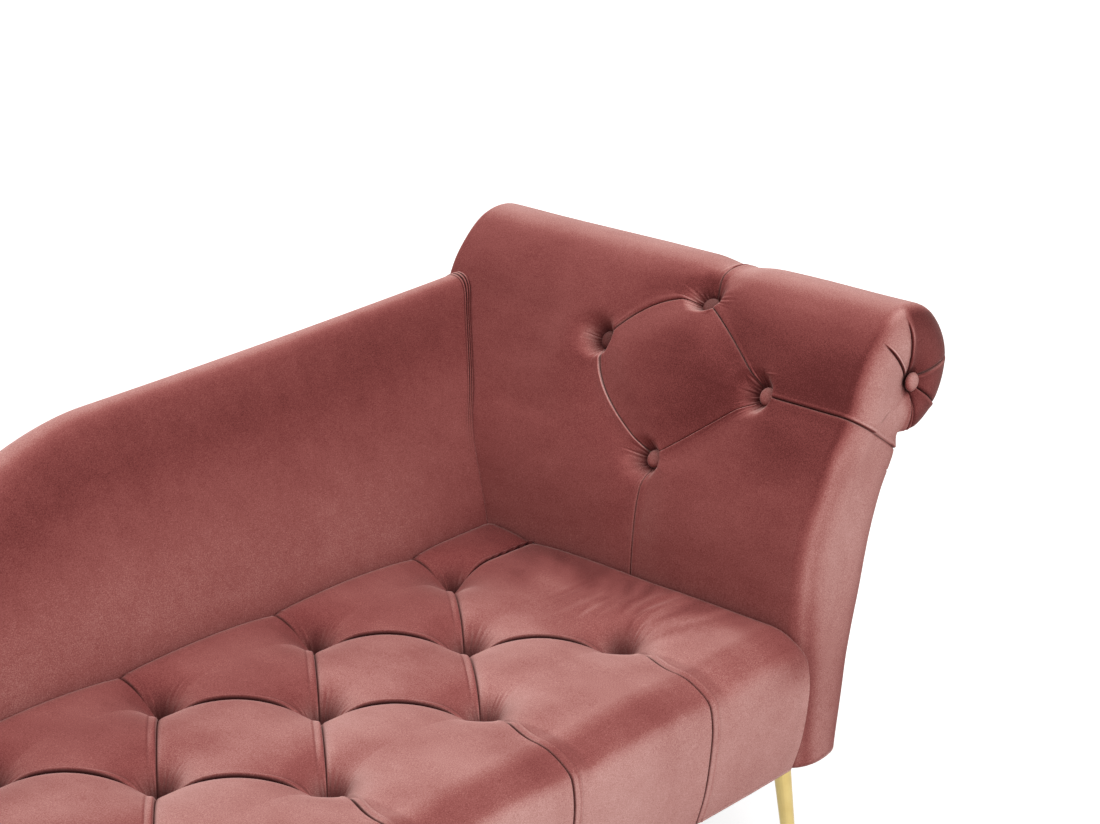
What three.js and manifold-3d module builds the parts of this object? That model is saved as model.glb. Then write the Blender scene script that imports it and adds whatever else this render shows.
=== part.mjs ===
// A fainting couch: a padded hardwood frame with one scrolled arm, a low sweeping back and four tapered legs.
// X runs to the arm, Y to the back and Z up. While it is built, x is 0 at the arm's inner face and y is 0 at
// the back's inner face, both at seat level, and z is 0 on the floor. Lengths are millimetres.
import * as THREE from 'three';
import { mergeVertices } from 'three/addons/utils/BufferGeometryUtils.js';
import Module from 'manifold-3d';

const wasm = await Module();
wasm.setup();

// Driving dimensions of the whole couch
const legHeight = 215;
const seatBoxHeight = 155;
const seatLength = 1262;
const seatDepth = 535;
const armHeight = 542;
const armReach = 285;
const armSetback = 13;
const backHeight = 315;
const backDepth = 177;
const clearance = 0.3;
const overrun = 60;

// Seat frame
const railHeight = 70;
const railThickness = 25;
const crossRailHeight = 40;
const crossRailThickness = 30;
const crossRailCount = 2;
const cornerBlockReach = 92;
const cornerBlockHeight = 45;

// Seat springs, the strips that hold them and the deck over them
const springCount = 7;
const springWire = 4;
const springWidth = 56;
const springStraight = 32;
const springRuns = 13;
const springCrown = 14;
const stripThickness = 1.5;
const stripWidth = 22;
const stripLip = 15;
const deckThickness = 2;

// Seat cushion and its tufts
const crownHeight = 34;
const seamRise = 20;
const seamRoll = 34;
const seamTuck = 5;
const tuftPitch = 235;
const tuftRowPitch = 142.4;
const tuftRows = 3;
const tuftHeadMargin = 152;
const tuftRearMargin = 80;
const tuftFootMargin = 150;
const tuftSink = 22;
const tuftReach = 26;
const noseReach = 55;
const pleatDepth = 6;

// Scrolled arm
const rollRadius = 80;
const armPad = 26;
const outerPad = 12;
const facingPad = 17;
const armPanelThickness = 18;
const armDeckThickness = 3;
const armEndRound = 20;
const battenThickness = 22;
const battenWidth = 40;
const armTuftSink = 15;
const armTuftReach = 30;
const creaseDepth = 6;
const creaseWidth = 26;
const rollHoleRadius = 24;
const slotRadius = 13;

// Back
const backLean = 112;
const backLeanHeight = 277;
const backPad = 22;
const backDeckThickness = 3;
const backCap = 38;
const backEndRound = 24;
const ribThickness = 25;
const ribCount = 4;
const ribEndInset = 70;
const topRailHeight = 40;
const crestPad = 20;
const crestDrop = 45;

// Buttons, legs and cover
const buttonRadius = 12.5;
const buttonHeight = 8;
const legTopRadius = 12;
const legTipRadius = 6.5;
const legInset = 47.6;
const studRadius = 4;
const studLength = 38;
const studClearance = 0.6;
const plateSize = 58;
const plateThickness = 3;
const glideHeight = 5;
const glideRadius = 6;
const glidePegRadius = 2.5;
const glidePegLength = 14;
const coverThickness = 1.2;
const coverEdge = 10;

// Shares and slopes
// The arm's inner and outer faces: reach from the inner face, height above the frame's underside
const armInnerShares = [
  [0, 0], [0, 0.167], [0, 0.332], [0.0175, 0.446], [0.0386, 0.514],
  [0.0877, 0.583], [0.151, 0.64], [0.249, 0.741], [0.35, 0.84], [0.47, 0.93],
];
const armOuterShares = [
  [0.653, 0.681], [0.554, 0.585], [0.491, 0.493], [0.432, 0.367], [0.372, 0.24], [0.34, 0.133], [0.302, 0],
];
const rollCentreShare = 0.7193;
const rollFrom = 112;
const rollTo = -105;
const rollTurnSteps = 7;
// The arm's tufts: height above the frame's underside, and place along the arm from its front
const lowTuftShares = [0.614, 0.3965];
const highTuftShares = [0.945, 0.3965];
const frontTuftShares = [0.798, 0.2035];
const rearTuftShares = [0.8215, 0.5845];
const rosetteDropShare = 0.14;
// Holes and battens of the arm's panels, by height
const slotShares = [0.38, 0.56];
const middleBattenShare = 0.62;
const topBattenShare = 0.9;
const outerBattenTurn = 50;
// The seat's border: reach outwards, and drop from the top's edge to the frame's underside
const noseShares = [
  [0, 0], [0.53, 0.044], [0.93, 0.142], [1, 0.29], [0.96, 0.475], [0.82, 0.743], [0.58, 1],
];
const creaseRiseShare = 0.72;
const gridEdgeShare = 0.3;
// The buttons' profile: reach and height
const buttonShares = [[0, 0], [1, 0], [1, 0.35], [0.7, 0.8], [0, 1]];
// The back's top line: a slow fall from the arm, then a sweep down to the foot end
const topFallShare = 0.153;
const topEaseShare = 0.776;
const sweepFromShare = 0.42;
const sweepToShare = 0.97;
const footHeightShare = 0.15;
const leanPower = 1.35;
const capShare = 0.6;
const legSplay = 0.083;

// Steps of the curves
const curveTries = 1200;
const crestSteps = 24;
const leanSteps = 6;
const capSteps = 7;
const deckSteps = 8;
const wireSides = 5;
const turnedSides = 20;

// Heights and planes that pieces share
const frameBottom = legHeight;
const railTop = frameBottom + railHeight;
const lipHeight = frameBottom + seatBoxHeight;
const seamHeight = lipHeight + seamRise;
const seatFront = -seatDepth;
const seatFoot = -seatLength;
const armFront = seatFront + armSetback;
const frontPanelOuter = armFront + facingPad;
const frontPanelInner = frontPanelOuter + armPanelThickness;
const frontRailOuter = frontPanelInner + clearance;
const frontRailInner = frontRailOuter + railThickness;
const rearPlane = backDepth - outerPad - clearance;
const rearPanelInner = rearPlane - armPanelThickness;
const backRailOuter = rearPanelInner - clearance;
const backRailInner = backRailOuter - railThickness;
const footRailOuter = seatFoot + (frontRailOuter - seatFront);
const footRailInner = footRailOuter + railThickness;
const armBaseWidth = armOuterShares.at(-1)[0] * armReach;
const headRailOuter = armBaseWidth - outerPad;
const headRailInner = headRailOuter - railThickness;
const borderInset = noseReach * (1 - noseShares.at(-1)[0]);
const springHeight = railTop + clearance + stripThickness + clearance + springWire / 2;
const stripTop = springHeight + springWire / 2 + clearance + stripThickness;
const deckEdge = stripTop + clearance;
const deckCrown = springHeight + springWire / 2 + springCrown + clearance - deckEdge;
const deckTop = deckEdge + deckCrown + deckThickness;
const rollCentre = [rollCentreShare * armReach, frameBottom + armHeight - rollRadius];
const plateTop = frameBottom - clearance;
const plateBottom = plateTop - plateThickness;

// Materials
const finish = (color, roughness, metalness) => () => (
  new THREE.MeshStandardMaterial({ color, roughness, metalness })
);
const velvet = finish(0x9b5552, 0.85, 0);
const hardwood = finish(0xb98f5e, 0.7, 0);
const plywood = finish(0xc9a673, 0.75, 0);
const board = finish(0x9a7b55, 0.85, 0);
const springSteel = finish(0x6f7378, 0.4, 1);
const zincSteel = finish(0xa9adb1, 0.45, 1);
const brass = finish(0xd6be78, 0.28, 1);
const nylon = finish(0x2b2a29, 0.6, 0);
const deckCloth = finish(0xcfc4ad, 0.95, 0);
const blackCloth = finish(0x1d1c1c, 0.95, 0);

// Places between two values, the last one included
const steps = (from, to, count) => (
  Array.from({ length: count }, (_, at) => THREE.MathUtils.lerp(from, to, (at + 1) / count))
);
const rise = (share) => Math.sin((Math.PI / 2) * THREE.MathUtils.clamp(share, 0, 1));

// Closed solids, which can be joined and cut
const solidOf = (geometry) => {
  const bare = geometry.clone();
  bare.deleteAttribute('normal');
  bare.deleteAttribute('uv');
  const merged = mergeVertices(bare);
  return new wasm.Manifold(new wasm.Mesh({
    numProp: 3,
    vertProperties: new Float32Array(merged.attributes.position.array),
    triVerts: new Uint32Array(merged.index.array),
  }));
};
const geometryOf = (solid) => {
  const { numProp, vertProperties, triVerts } = solid.getMesh();
  const places = [];
  for (let at = 0; at < vertProperties.length; at += numProp) {
    places.push(vertProperties[at], vertProperties[at + 1], vertProperties[at + 2]);
  }
  const geometry = new THREE.BufferGeometry();
  geometry.setAttribute('position', new THREE.Float32BufferAttribute(places, 3));
  geometry.setIndex(Array.from(triVerts));
  geometry.computeVertexNormals();
  return geometry;
};
const cut = (solid, ...cutters) => cutters.reduce((left, cutter) => left.subtract(cutter), solid);
const join = (...solids) => solids.reduce((all, solid) => all.add(solid));

// A solid of points and triangles, turned so that its faces point out
const skin = (places, faces) => {
  const volume = faces.reduce((sum, [a, b, c]) => (
    sum + places[a].dot(new THREE.Vector3().crossVectors(places[b], places[c]))
  ), 0);
  const geometry = new THREE.BufferGeometry();
  geometry.setAttribute('position', new THREE.Float32BufferAttribute(places.flatMap((p) => p.toArray()), 3));
  geometry.setIndex(faces.flatMap(([a, b, c]) => (volume > 0 ? [a, b, c] : [a, c, b])));
  return solidOf(geometry);
};

// A box between two places on each axis
const block = ([x0, x1], [y0, y1], [z0, z1]) => {
  const geometry = new THREE.BoxGeometry(x1 - x0, y1 - y0, z1 - z0);
  return solidOf(geometry.translate((x0 + x1) / 2, (y0 + y1) / 2, (z0 + z1) / 2));
};

// A prism along x, y or z. Its outline's numbers are (y, z), (x, z) or (x, y).
const prismTurns = {
  x: (from) => new THREE.Matrix4().set(0, 0, 1, from, 1, 0, 0, 0, 0, 1, 0, 0, 0, 0, 0, 1),
  y: (from, to) => new THREE.Matrix4().set(1, 0, 0, 0, 0, 0, -1, to, 0, 1, 0, 0, 0, 0, 0, 1),
  z: (from) => new THREE.Matrix4().makeTranslation(0, 0, from),
};
const straight = 1e-5;
const prism = (axis, outline, from, to, holes = []) => {
  const places = outline.map(([a, b]) => new THREE.Vector2(a, b));
  const corners = places.filter((place, at) => {
    const before = place.clone().sub(places.at(at - 1));
    const after = places[(at + 1) % places.length].clone().sub(place);
    return Math.abs(before.cross(after)) > straight * before.length() * after.length();
  });
  const shape = new THREE.Shape(corners);
  shape.holes.push(...holes);
  const geometry = new THREE.ExtrudeGeometry(shape, { depth: to - from, bevelEnabled: false, curveSegments: 6 });
  return solidOf(geometry.applyMatrix4(prismTurns[axis](from, to)));
};

// A skin over rings of points. Each end is zipped: a ring's points meet those opposite them, halfway.
// split says which of a quad's two diagonals is an edge.
const loft = (rings, split = () => true) => {
  const size = rings[0].length;
  const zip = (ring) => ring.map((place, at) => place.clone().lerp(ring[size - 1 - at], 0.5));
  const all = [zip(rings[0]), ...rings, zip(rings.at(-1))];
  const faces = [];
  for (let ring = 0; ring + 1 < all.length; ring += 1) {
    for (let at = 0; at < size; at += 1) {
      const [a, b] = [ring * size + at, ring * size + ((at + 1) % size)];
      const [c, d] = [b + size, a + size];
      faces.push(...(split(ring - 1, at) ? [[a, b, c], [a, c, d]] : [[a, b, d], [b, c, d]]));
    }
  }
  return skin(all.flat(), faces);
};

// A round wire along a list of points, with flat ends
const wire = (places, radius, sides) => {
  const up = new THREE.Vector3(0, 0, 1);
  const last = places.length - 1;
  const rings = places.map((place, at) => {
    const before = place.clone().sub(places[Math.max(at - 1, 0)]).normalize();
    const after = places[Math.min(at + 1, last)].clone().sub(place).normalize();
    const along = before.clone().add(after).normalize();
    const across = new THREE.Vector3().crossVectors(up, along).normalize();
    const mitre = radius / along.dot(at === last ? before : after);
    return Array.from({ length: sides }, (_, side) => {
      const turn = (side / sides) * 2 * Math.PI;
      return place.clone()
        .addScaledVector(across, mitre * Math.cos(turn))
        .addScaledVector(up, radius * Math.sin(turn));
    });
  });
  const faces = [];
  for (let ring = 0; ring < last; ring += 1) {
    for (let side = 0; side < sides; side += 1) {
      const [a, b] = [ring * sides + side, ring * sides + ((side + 1) % sides)];
      faces.push([a, b, b + sides], [a, b + sides, a + sides]);
    }
  }
  const end = last * sides;
  for (let side = 1; side + 1 < sides; side += 1) {
    faces.push([0, side + 1, side], [end, end + side, end + side + 1]);
  }
  return skin(rings.flat(), faces);
};

// A turned solid. Its profile is a list of [radius, height] that starts and ends on the axis.
const turned = (profile) => {
  const points = profile.map(([radius, height]) => new THREE.Vector2(radius, height));
  return solidOf(new THREE.LatheGeometry(points, turnedSides).rotateX(Math.PI / 2));
};

// The couch's pieces, each under its own name
const couch = new THREE.Group();
const add = (name, material, solid) => {
  const mesh = new THREE.Mesh(geometryOf(solid), material());
  mesh.name = name;
  couch.add(mesh);
};

// The arm's outline, seen from the front: up the inner face, round the roll and down the outer face
const armPoint = ([reach, height]) => new THREE.Vector3(reach * armReach, 0, frameBottom + height * armHeight);
const rollPoint = (degrees) => {
  const turn = THREE.MathUtils.degToRad(degrees);
  return new THREE.Vector3(
    rollCentre[0] + rollRadius * Math.cos(turn), 0, rollCentre[1] + rollRadius * Math.sin(turn),
  );
};
const rollTurns = [rollFrom, ...steps(rollFrom, rollTo, rollTurnSteps)];
const armCurve = new THREE.CatmullRomCurve3([
  ...armInnerShares.map(armPoint), ...rollTurns.map(rollPoint), ...armOuterShares.map(armPoint),
], false, 'centripetal');
armCurve.arcLengthDivisions = curveTries;
const armLength = armCurve.getLength();

// A station is a share of the outline's length, found by trying many
const tries = [0, ...steps(0, 1, curveTries)];
const triedPlaces = tries.map((station) => armCurve.getPointAt(station));
const stationNear = (place) => {
  const gaps = triedPlaces.map((here) => here.distanceTo(place));
  return tries[gaps.indexOf(Math.min(...gaps))];
};
const topStation = stationNear(rollPoint(90));
const tuckStation = stationNear(rollPoint(rollTo));
const innerStation = (height) => {
  const at = triedPlaces.findIndex((place) => place.z >= height);
  return at < 0 ? topStation : tries[at];
};
const outerStation = (height) => tries[triedPlaces.findLastIndex((place) => place.z >= height)];
const armShareHeight = (share) => frameBottom + share * armHeight;
const seatStation = innerStation(seamHeight);
const [lowStation, sideStation, highStation] = [lowTuftShares, frontTuftShares, highTuftShares]
  .map(([share]) => innerStation(armShareHeight(share)));
const armStations = [
  0, ...steps(0, seatStation, 2), ...steps(seatStation, lowStation, 4), ...steps(lowStation, sideStation, 4),
  ...steps(sideStation, highStation, 4), ...steps(highStation, topStation, 2),
  ...steps(topStation, tuckStation, 8), ...steps(tuckStation, 1, 8),
];

// A point of the outline, moved inwards
const armInset = (station, inset) => {
  const along = armCurve.getTangentAt(station);
  const inwards = new THREE.Vector3(along.z, 0, -along.x).normalize();
  return armCurve.getPointAt(station).addScaledVector(inwards, inset);
};
const flatArm = (place) => [place.x, place.z];

// Between its stations the outline is straight, also for the strips laid along it
const armFacet = (station, inset) => {
  const at = Math.max(armStations.findIndex((other) => other >= station), 1);
  const [before, after] = [armStations[at - 1], armStations[at]];
  const share = (station - before) / (after - before);
  return armInset(before, inset).lerp(armInset(after, inset), share);
};
const armStrip = (from, to, outer, inner) => {
  const places = [from, ...armStations.filter((station) => station > from && station < to), to];
  return [
    ...places.map((station) => flatArm(armFacet(station, outer))),
    ...places.toReversed().map((station) => flatArm(armFacet(station, inner))),
  ];
};

// All that lies beyond the arm's inner face, which trims the pieces that meet it
const armFar = armReach + overrun;
const beyondArm = (inset) => {
  const face = armStations.filter((station) => station <= topStation)
    .map((station) => flatArm(armInset(station, inset)));
  return prism('y', [
    [face[0][0], -overrun], ...face, [armFar, face.at(-1)[1]], [armFar, -overrun],
  ], seatFront - overrun, backDepth + overrun);
};
const armTrim = beyondArm(-clearance);

// The scroll-shaped panels at the arm's ends
const panelPlaces = armStations.map((station) => (
  flatArm(armInset(station, station > tuckStation ? outerPad : armPad))
));
const panelOutline = [
  [panelPlaces[0][0], frameBottom], ...panelPlaces.slice(1, -1), [panelPlaces.at(-1)[0], frameBottom],
];
const bladeMiddle = (share) => {
  const height = armShareHeight(share);
  const inner = armInset(innerStation(height), armPad).x;
  const outer = armInset(outerStation(height), outerPad).x;
  return new THREE.Vector2((inner + outer) / 2, height);
};
const slotHole = () => {
  const [low, high] = slotShares.map(bladeMiddle);
  const tilt = high.clone().sub(low).angle();
  const hole = new THREE.Path();
  hole.absarc(high.x, high.y, slotRadius, tilt - Math.PI / 2, tilt + Math.PI / 2, false);
  hole.absarc(low.x, low.y, slotRadius, tilt + Math.PI / 2, tilt + Math.PI * 1.5, false);
  return hole.closePath();
};
const rollHole = () => new THREE.Path().absarc(...rollCentre, rollHoleRadius, 0, Math.PI * 2, false);
const armPanel = (from, to) => prism('y', panelOutline, from, to, [slotHole(), rollHole()]);
add('arm_panel_front', plywood, armPanel(frontPanelOuter, frontPanelInner));
add('arm_panel_rear', plywood, armPanel(rearPanelInner, rearPlane));

// Battens between the panels, planed to the arm's curve
const batten = (from, to) => prism(
  'y', armStrip(from, to, armPad, armPad + battenThickness), frontPanelInner + clearance, rearPanelInner - clearance,
);
const battenReach = battenWidth / armLength;
const lowBattenStation = innerStation(deckTop + clearance);
const middleBattenStation = innerStation(armShareHeight(middleBattenShare));
const topBattenStation = innerStation(armShareHeight(topBattenShare));
const outerBattenStation = stationNear(rollPoint(outerBattenTurn));
add('arm_batten_low', hardwood, batten(lowBattenStation, lowBattenStation + battenReach));
add('arm_batten_middle', hardwood, batten(middleBattenStation, middleBattenStation + battenReach));
add('arm_batten_top', hardwood, batten(topBattenStation, topBattenStation + battenReach));
add('arm_batten_outer', hardwood, batten(outerBattenStation, outerBattenStation + battenReach));

// The back's top line, which is the height of its padded crest at x
const crest = (x) => {
  const share = -x / seatLength;
  const high = 1 - topFallShare * (1 - Math.exp(-share / topEaseShare));
  const sweep = THREE.MathUtils.smoothstep(share, sweepFromShare, sweepToShare);
  return lipHeight + backHeight * THREE.MathUtils.lerp(high, footHeightShare, sweep);
};
const crestStart = seatFoot - overrun;
const crestPlaces = [crestStart, ...steps(crestStart, armReach, crestSteps)];
const crestLine = (drop) => crestPlaces.map((x) => [x, crest(x) - drop]);
const underCrest = (drop, y0, y1) => prism('y', [
  ...crestLine(drop), [armReach, -overrun], [crestStart, -overrun],
], y0, y1);
const aboveAll = lipHeight + armHeight + backHeight;
const overCrest = (drop) => prism('y', [
  ...crestLine(drop), [armReach, aboveAll], [crestStart, aboveAll],
], seatFront - overrun, backDepth + overrun);

// How far the back's inner face leans away at a height
const lean = (height) => {
  const share = Math.max(height - seamHeight, 0) / (backLeanHeight - seamRise);
  return backLean * share ** leanPower;
};
const leanTop = lipHeight + backHeight;
const leanLine = (from, shift) => [from, seamHeight, ...steps(seamHeight, leanTop, leanSteps)]
  .map((height) => [lean(height) + shift, height]);
const farBehind = backDepth + 2 * overrun;
const behindLean = (shift, foot, from, to) => prism('x', [
  [shift, foot], ...leanLine(seamHeight, shift).slice(1), [farBehind, leanTop], [farBehind, foot],
], from, to);

// The top rail follows the crest and meets the arm's rear panel. It passes through the arm's padding.
const topRailDrop = crestPad + topRailHeight;
const topRailBody = (grow) => cut(
  prism('y', [
    ...crestLine(crestPad - grow), ...crestLine(topRailDrop + grow).toReversed(),
  ], rearPanelInner - grow, rearPlane + grow),
  block([crestStart - overrun, footRailOuter - grow], [-overrun, backDepth + overrun], [0, aboveAll]),
  beyondArm(armPad - clearance + grow),
);
add('back_top_rail', hardwood, topRailBody(0));
const topRailTrim = topRailBody(clearance);

// Wedge-shaped ribs, lapped on the back rail's outer face
const ribFoot = deckTop + clearance;
const ribPlaces = [footRailOuter, ...steps(footRailOuter, -ribEndInset, ribCount - 1)];
ribPlaces.forEach((x, at) => {
  const across = [x, x + ribThickness];
  const foot = block(across, [rearPanelInner, rearPlane], [frameBottom, ribFoot]);
  const body = cut(
    behindLean(backPad, ribFoot, ...across), overCrest(topRailDrop + clearance),
    block([x, x + ribThickness], [rearPlane, farBehind], [0, aboveAll]),
  );
  add(`back_rib_${at + 1}`, plywood, join(foot, body));
});

// The sheet under the back's padding, bent to its lean
const backDeckShift = backPad - clearance - backDeckThickness;
const backDeckLine = leanLine(ribFoot, backDeckShift);
const backDeckBack = leanLine(ribFoot, backDeckShift + backDeckThickness).toReversed();
add('back_deck', board, cut(
  prism('x', [...backDeckLine, ...backDeckBack], footRailOuter, armReach), overCrest(topRailDrop + clearance), armTrim,
));

// Legs stand in from the couch's lower edges and splay outwards towards the floor
const legPlaces = {
  front_head: [armBaseWidth - legInset, seatFront + borderInset + legInset, 1, -1],
  rear_head: [armBaseWidth - legInset, backDepth - legInset, 1, 1],
  front_foot: [seatFoot + borderInset + legInset, seatFront + borderInset + legInset, -1, -1],
  rear_foot: [seatFoot + borderInset + legInset, backDepth - legInset, -1, 1],
};
const splayed = (solid, [x, y, outX, outY]) => {
  const geometry = geometryOf(solid);
  geometry.applyMatrix4(new THREE.Matrix4().set(
    1, 0, -outX * legSplay, x + outX * legSplay * frameBottom,
    0, 1, -outY * legSplay, y + outY * legSplay * frameBottom,
    0, 0, 1, 0, 0, 0, 0, 1,
  ));
  return solidOf(geometry);
};
const legTop = plateBottom - clearance;
const legFoot = glideHeight + clearance;
const legBoreTop = legFoot + glidePegLength;
const legBore = glidePegRadius + clearance;
const legBody = turned([
  [0, legBoreTop], [legBore, legBoreTop], [legBore, legFoot], [legTipRadius, legFoot], [legTopRadius, legTop],
  [studRadius, legTop], [studRadius, legTop + studLength], [0, legTop + studLength],
]);
const glideBody = turned([
  [0, 0], [glideRadius, 0], [legTipRadius, glideHeight], [glidePegRadius, glideHeight],
  [glidePegRadius, glideHeight + glidePegLength - clearance], [0, glideHeight + glidePegLength - clearance],
]);
const studBore = turned([
  [0, plateBottom - clearance], [studRadius + studClearance, plateBottom - clearance],
  [studRadius + studClearance, legTop + studLength + studClearance], [0, legTop + studLength + studClearance],
]);
const bores = Object.values(legPlaces).map((place) => splayed(studBore, place));
const plateBlock = ([x, y], grow) => block(
  [x - plateSize / 2 - grow, x + plateSize / 2 + grow], [y - plateSize / 2 - grow, y + plateSize / 2 + grow],
  [plateBottom - grow, plateTop + grow],
);
Object.entries(legPlaces).forEach(([name, place]) => {
  add(`leg_${name}`, brass, splayed(legBody, place));
  add(`glide_${name}`, nylon, splayed(glideBody, place));
  add(`leg_plate_${name}`, zincSteel, cut(plateBlock(place, 0), ...bores));
});

// Seat frame: long rails front and back, short ones between them, stretchers and corner blocks
const frameHeights = [frameBottom, railTop];
const shortRailSpan = [frontRailInner + clearance, backRailInner - clearance];
const frontRail = block([footRailOuter, headRailOuter], [frontRailOuter, frontRailInner], frameHeights);
const backRail = block([footRailOuter, headRailOuter], [backRailInner, backRailOuter], frameHeights);
add('front_rail', hardwood, cut(frontRail, ...bores));
add('back_rail', hardwood, cut(backRail, ...bores));
add('head_rail', hardwood, cut(block([headRailInner, headRailOuter], shortRailSpan, frameHeights), ...bores));
add('foot_rail', hardwood, cut(block([footRailOuter, footRailInner], shortRailSpan, frameHeights), ...bores));
const crossRailPlaces = steps(footRailInner, headRailInner, crossRailCount + 1).slice(0, -1);
crossRailPlaces.forEach((x, at) => {
  const across = [x - crossRailThickness / 2, x + crossRailThickness / 2];
  add(`cross_rail_${at + 1}`, hardwood, block(across, shortRailSpan, [frameBottom, frameBottom + crossRailHeight]));
});
Object.entries(legPlaces).forEach(([name, [, , outX, outY]]) => {
  const cornerX = outX > 0 ? headRailInner - clearance : footRailInner + clearance;
  const cornerY = outY > 0 ? backRailInner - clearance : frontRailInner + clearance;
  const outline = [
    [cornerX, cornerY], [cornerX - outX * cornerBlockReach, cornerY], [cornerX, cornerY - outY * cornerBlockReach],
  ];
  const body = prism('z', outline, frameBottom, frameBottom + cornerBlockHeight);
  add(`corner_block_${name}`, hardwood, cut(body, ...bores));
});

// Sinuous springs: runs across, joined by bends, arched over the frame
const stripInset = (railThickness - stripWidth) / 2;
const springStart = frontRailOuter + stripInset + stripThickness + clearance + springWire / 2;
const springEnd = backRailOuter - stripInset - stripThickness - clearance - springWire / 2;
const springPlaces = steps(footRailInner, headRailInner, springCount)
  .map((x) => x - (headRailInner - footRailInner) / springCount / 2);
const springBends = 3;
const springLine = (middle) => {
  const runGap = (springEnd - springStart) / (springRuns - 1);
  const bendReach = (springWidth - springStraight) / 2;
  const places = [];
  for (let run = 0; run < springRuns; run += 1) {
    const side = run % 2 ? -1 : 1;
    const y = springStart + run * runGap;
    places.push([middle - (side * springStraight) / 2, y], [middle + (side * springStraight) / 2, y]);
    for (let bend = 1; bend < springBends && run + 1 < springRuns; bend += 1) {
      const turn = (Math.PI * bend) / springBends;
      const out = springStraight / 2 + bendReach * Math.sin(turn);
      places.push([middle + side * out, y + (runGap * (1 - Math.cos(turn))) / 2]);
    }
  }
  return places.map(([x, y]) => {
    const share = (y - springStart) / (springEnd - springStart);
    return new THREE.Vector3(x, y, springHeight + springCrown * 4 * share * (1 - share));
  });
};
springPlaces.forEach((x, at) => {
  add(`spring_${at + 1}`, springSteel, wire(springLine(x), springWire / 2, wireSides));
});

// Folded strips whose tongues hold the springs' end runs
const springStrip = (outer, inwards) => {
  const span = (from, to) => [outer + inwards * from, outer + inwards * to].sort((a, b) => a - b);
  const floor = railTop + clearance;
  const base = block([footRailInner, headRailInner], span(0, stripWidth), [floor, floor + stripThickness]);
  const tongues = springPlaces.map((x) => {
    const across = [x - springStraight / 2, x + springStraight / 2];
    return join(
      block(across, span(0, stripThickness), [floor, stripTop]),
      block(across, span(0, stripLip), [stripTop - stripThickness, stripTop]),
    );
  });
  return join(base, ...tongues);
};
add('spring_strip_front', zincSteel, springStrip(frontRailOuter + stripInset, 1));
add('spring_strip_back', zincSteel, springStrip(backRailOuter - stripInset, -1));

// The deck arches over the springs
const deckLine = (raise) => [frontRailOuter, ...steps(frontRailOuter, backRailOuter, deckSteps)].map((y) => {
  const share = (y - frontRailOuter) / (backRailOuter - frontRailOuter);
  return [y, deckEdge + raise + deckCrown * 4 * share * (1 - share)];
});
add('seat_deck', deckCloth, prism(
  'x', [...deckLine(0), ...deckLine(deckThickness).toReversed()], footRailOuter, headRailOuter,
));

// What the cushions leave free for the seat's frame and deck
const seatCoreTop = deckLine(deckThickness + clearance);
const seatCore = prism('x', [
  [frontRailOuter - clearance, -overrun], [frontRailOuter - clearance, seatCoreTop[0][1]], ...seatCoreTop,
  [backRailOuter + clearance, seatCoreTop.at(-1)[1]], [backRailOuter + clearance, -overrun],
], footRailOuter - clearance, headRailOuter + clearance);

// Tuft places of the seat, from the one nearest the arm and the back
const tuftHead = -tuftHeadMargin;
const tuftCount = Math.floor((seatLength - tuftHeadMargin - tuftFootMargin) / tuftPitch);
const tuftFoot = tuftHead - tuftCount * tuftPitch;
const tuftRear = -tuftRearMargin;
const tuftFront = tuftRear - (tuftRows - 1) * tuftRowPitch;
const outside = (value, low, high) => Math.max(low - value, value - high, 0);

// How far a place of the seat lies from the creases on its two sides, each from 0 to 1
const creaseShares = (x, y) => {
  const [outX, outY] = [outside(x, tuftFoot, tuftHead), outside(y, tuftFront, tuftRear)];
  const alongX = (x - tuftHead) / tuftPitch;
  const alongY = (y - tuftRear) / tuftRowPitch / 2;
  if (!outX && !outY) {
    return [alongX + alongY, alongX - alongY].map((turn) => Math.abs(Math.sin(Math.PI * turn)));
  }
  if (!outX) {
    const side = Math.abs(Math.sin(Math.PI * alongX));
    return [side, Math.max(side, rise((2 * outY) / tuftRowPitch))];
  }
  if (!outY) {
    const side = Math.abs(Math.sin(Math.PI * alongY));
    return [side, Math.max(side, rise((4 * outX) / tuftPitch))];
  }
  return [rise((2 * outX) / tuftPitch), rise((2 * outY) / tuftRowPitch)];
};

// The distance to the nearest tuft of the seat
const tuftDistance = (x, y) => {
  let nearest = Infinity;
  for (let row = 0; row < tuftRows; row += 1) {
    const shift = row % 2 ? tuftPitch / 2 : 0;
    for (let column = 0; column <= tuftCount - (row % 2); column += 1) {
      const tuftX = tuftHead - shift - column * tuftPitch;
      nearest = Math.min(nearest, Math.hypot(x - tuftX, y - tuftRear + row * tuftRowPitch));
    }
  }
  return nearest;
};

// The height of the seat's top, pillowed between its creases and rolled down at its seams
const seatTop = (x, y) => {
  const [one, two] = creaseShares(x, y);
  const pillow = (1 - creaseRiseShare) * Math.sqrt(one * two) + creaseRiseShare * Math.max(one, two);
  const sink = tuftSink * Math.exp(-((tuftDistance(x, y) / tuftReach) ** 2));
  const seam = Math.min(rise((-x) / seamRoll), rise((-y) / seamRoll));
  return lipHeight + THREE.MathUtils.lerp(Math.min(seamRise, crownHeight * pillow), crownHeight * pillow, seam) - sink;
};

// Grid lines from one border to another that pass through the tufts
const gridLines = (from, to, origin, step) => {
  const first = Math.ceil((from - origin) / step + gridEdgeShare);
  const last = Math.floor((to - origin) / step - gridEdgeShare);
  const inside = Array.from({ length: last - first + 1 }, (_, at) => origin + (first + at) * step);
  return [from, ...inside, to];
};
const seatColumns = gridLines(seatFoot + noseReach, seamTuck, tuftHead, tuftPitch / 8);
const seatRows = gridLines(seatFront + noseReach, seamTuck, tuftRear, tuftRowPitch / 4);

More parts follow.
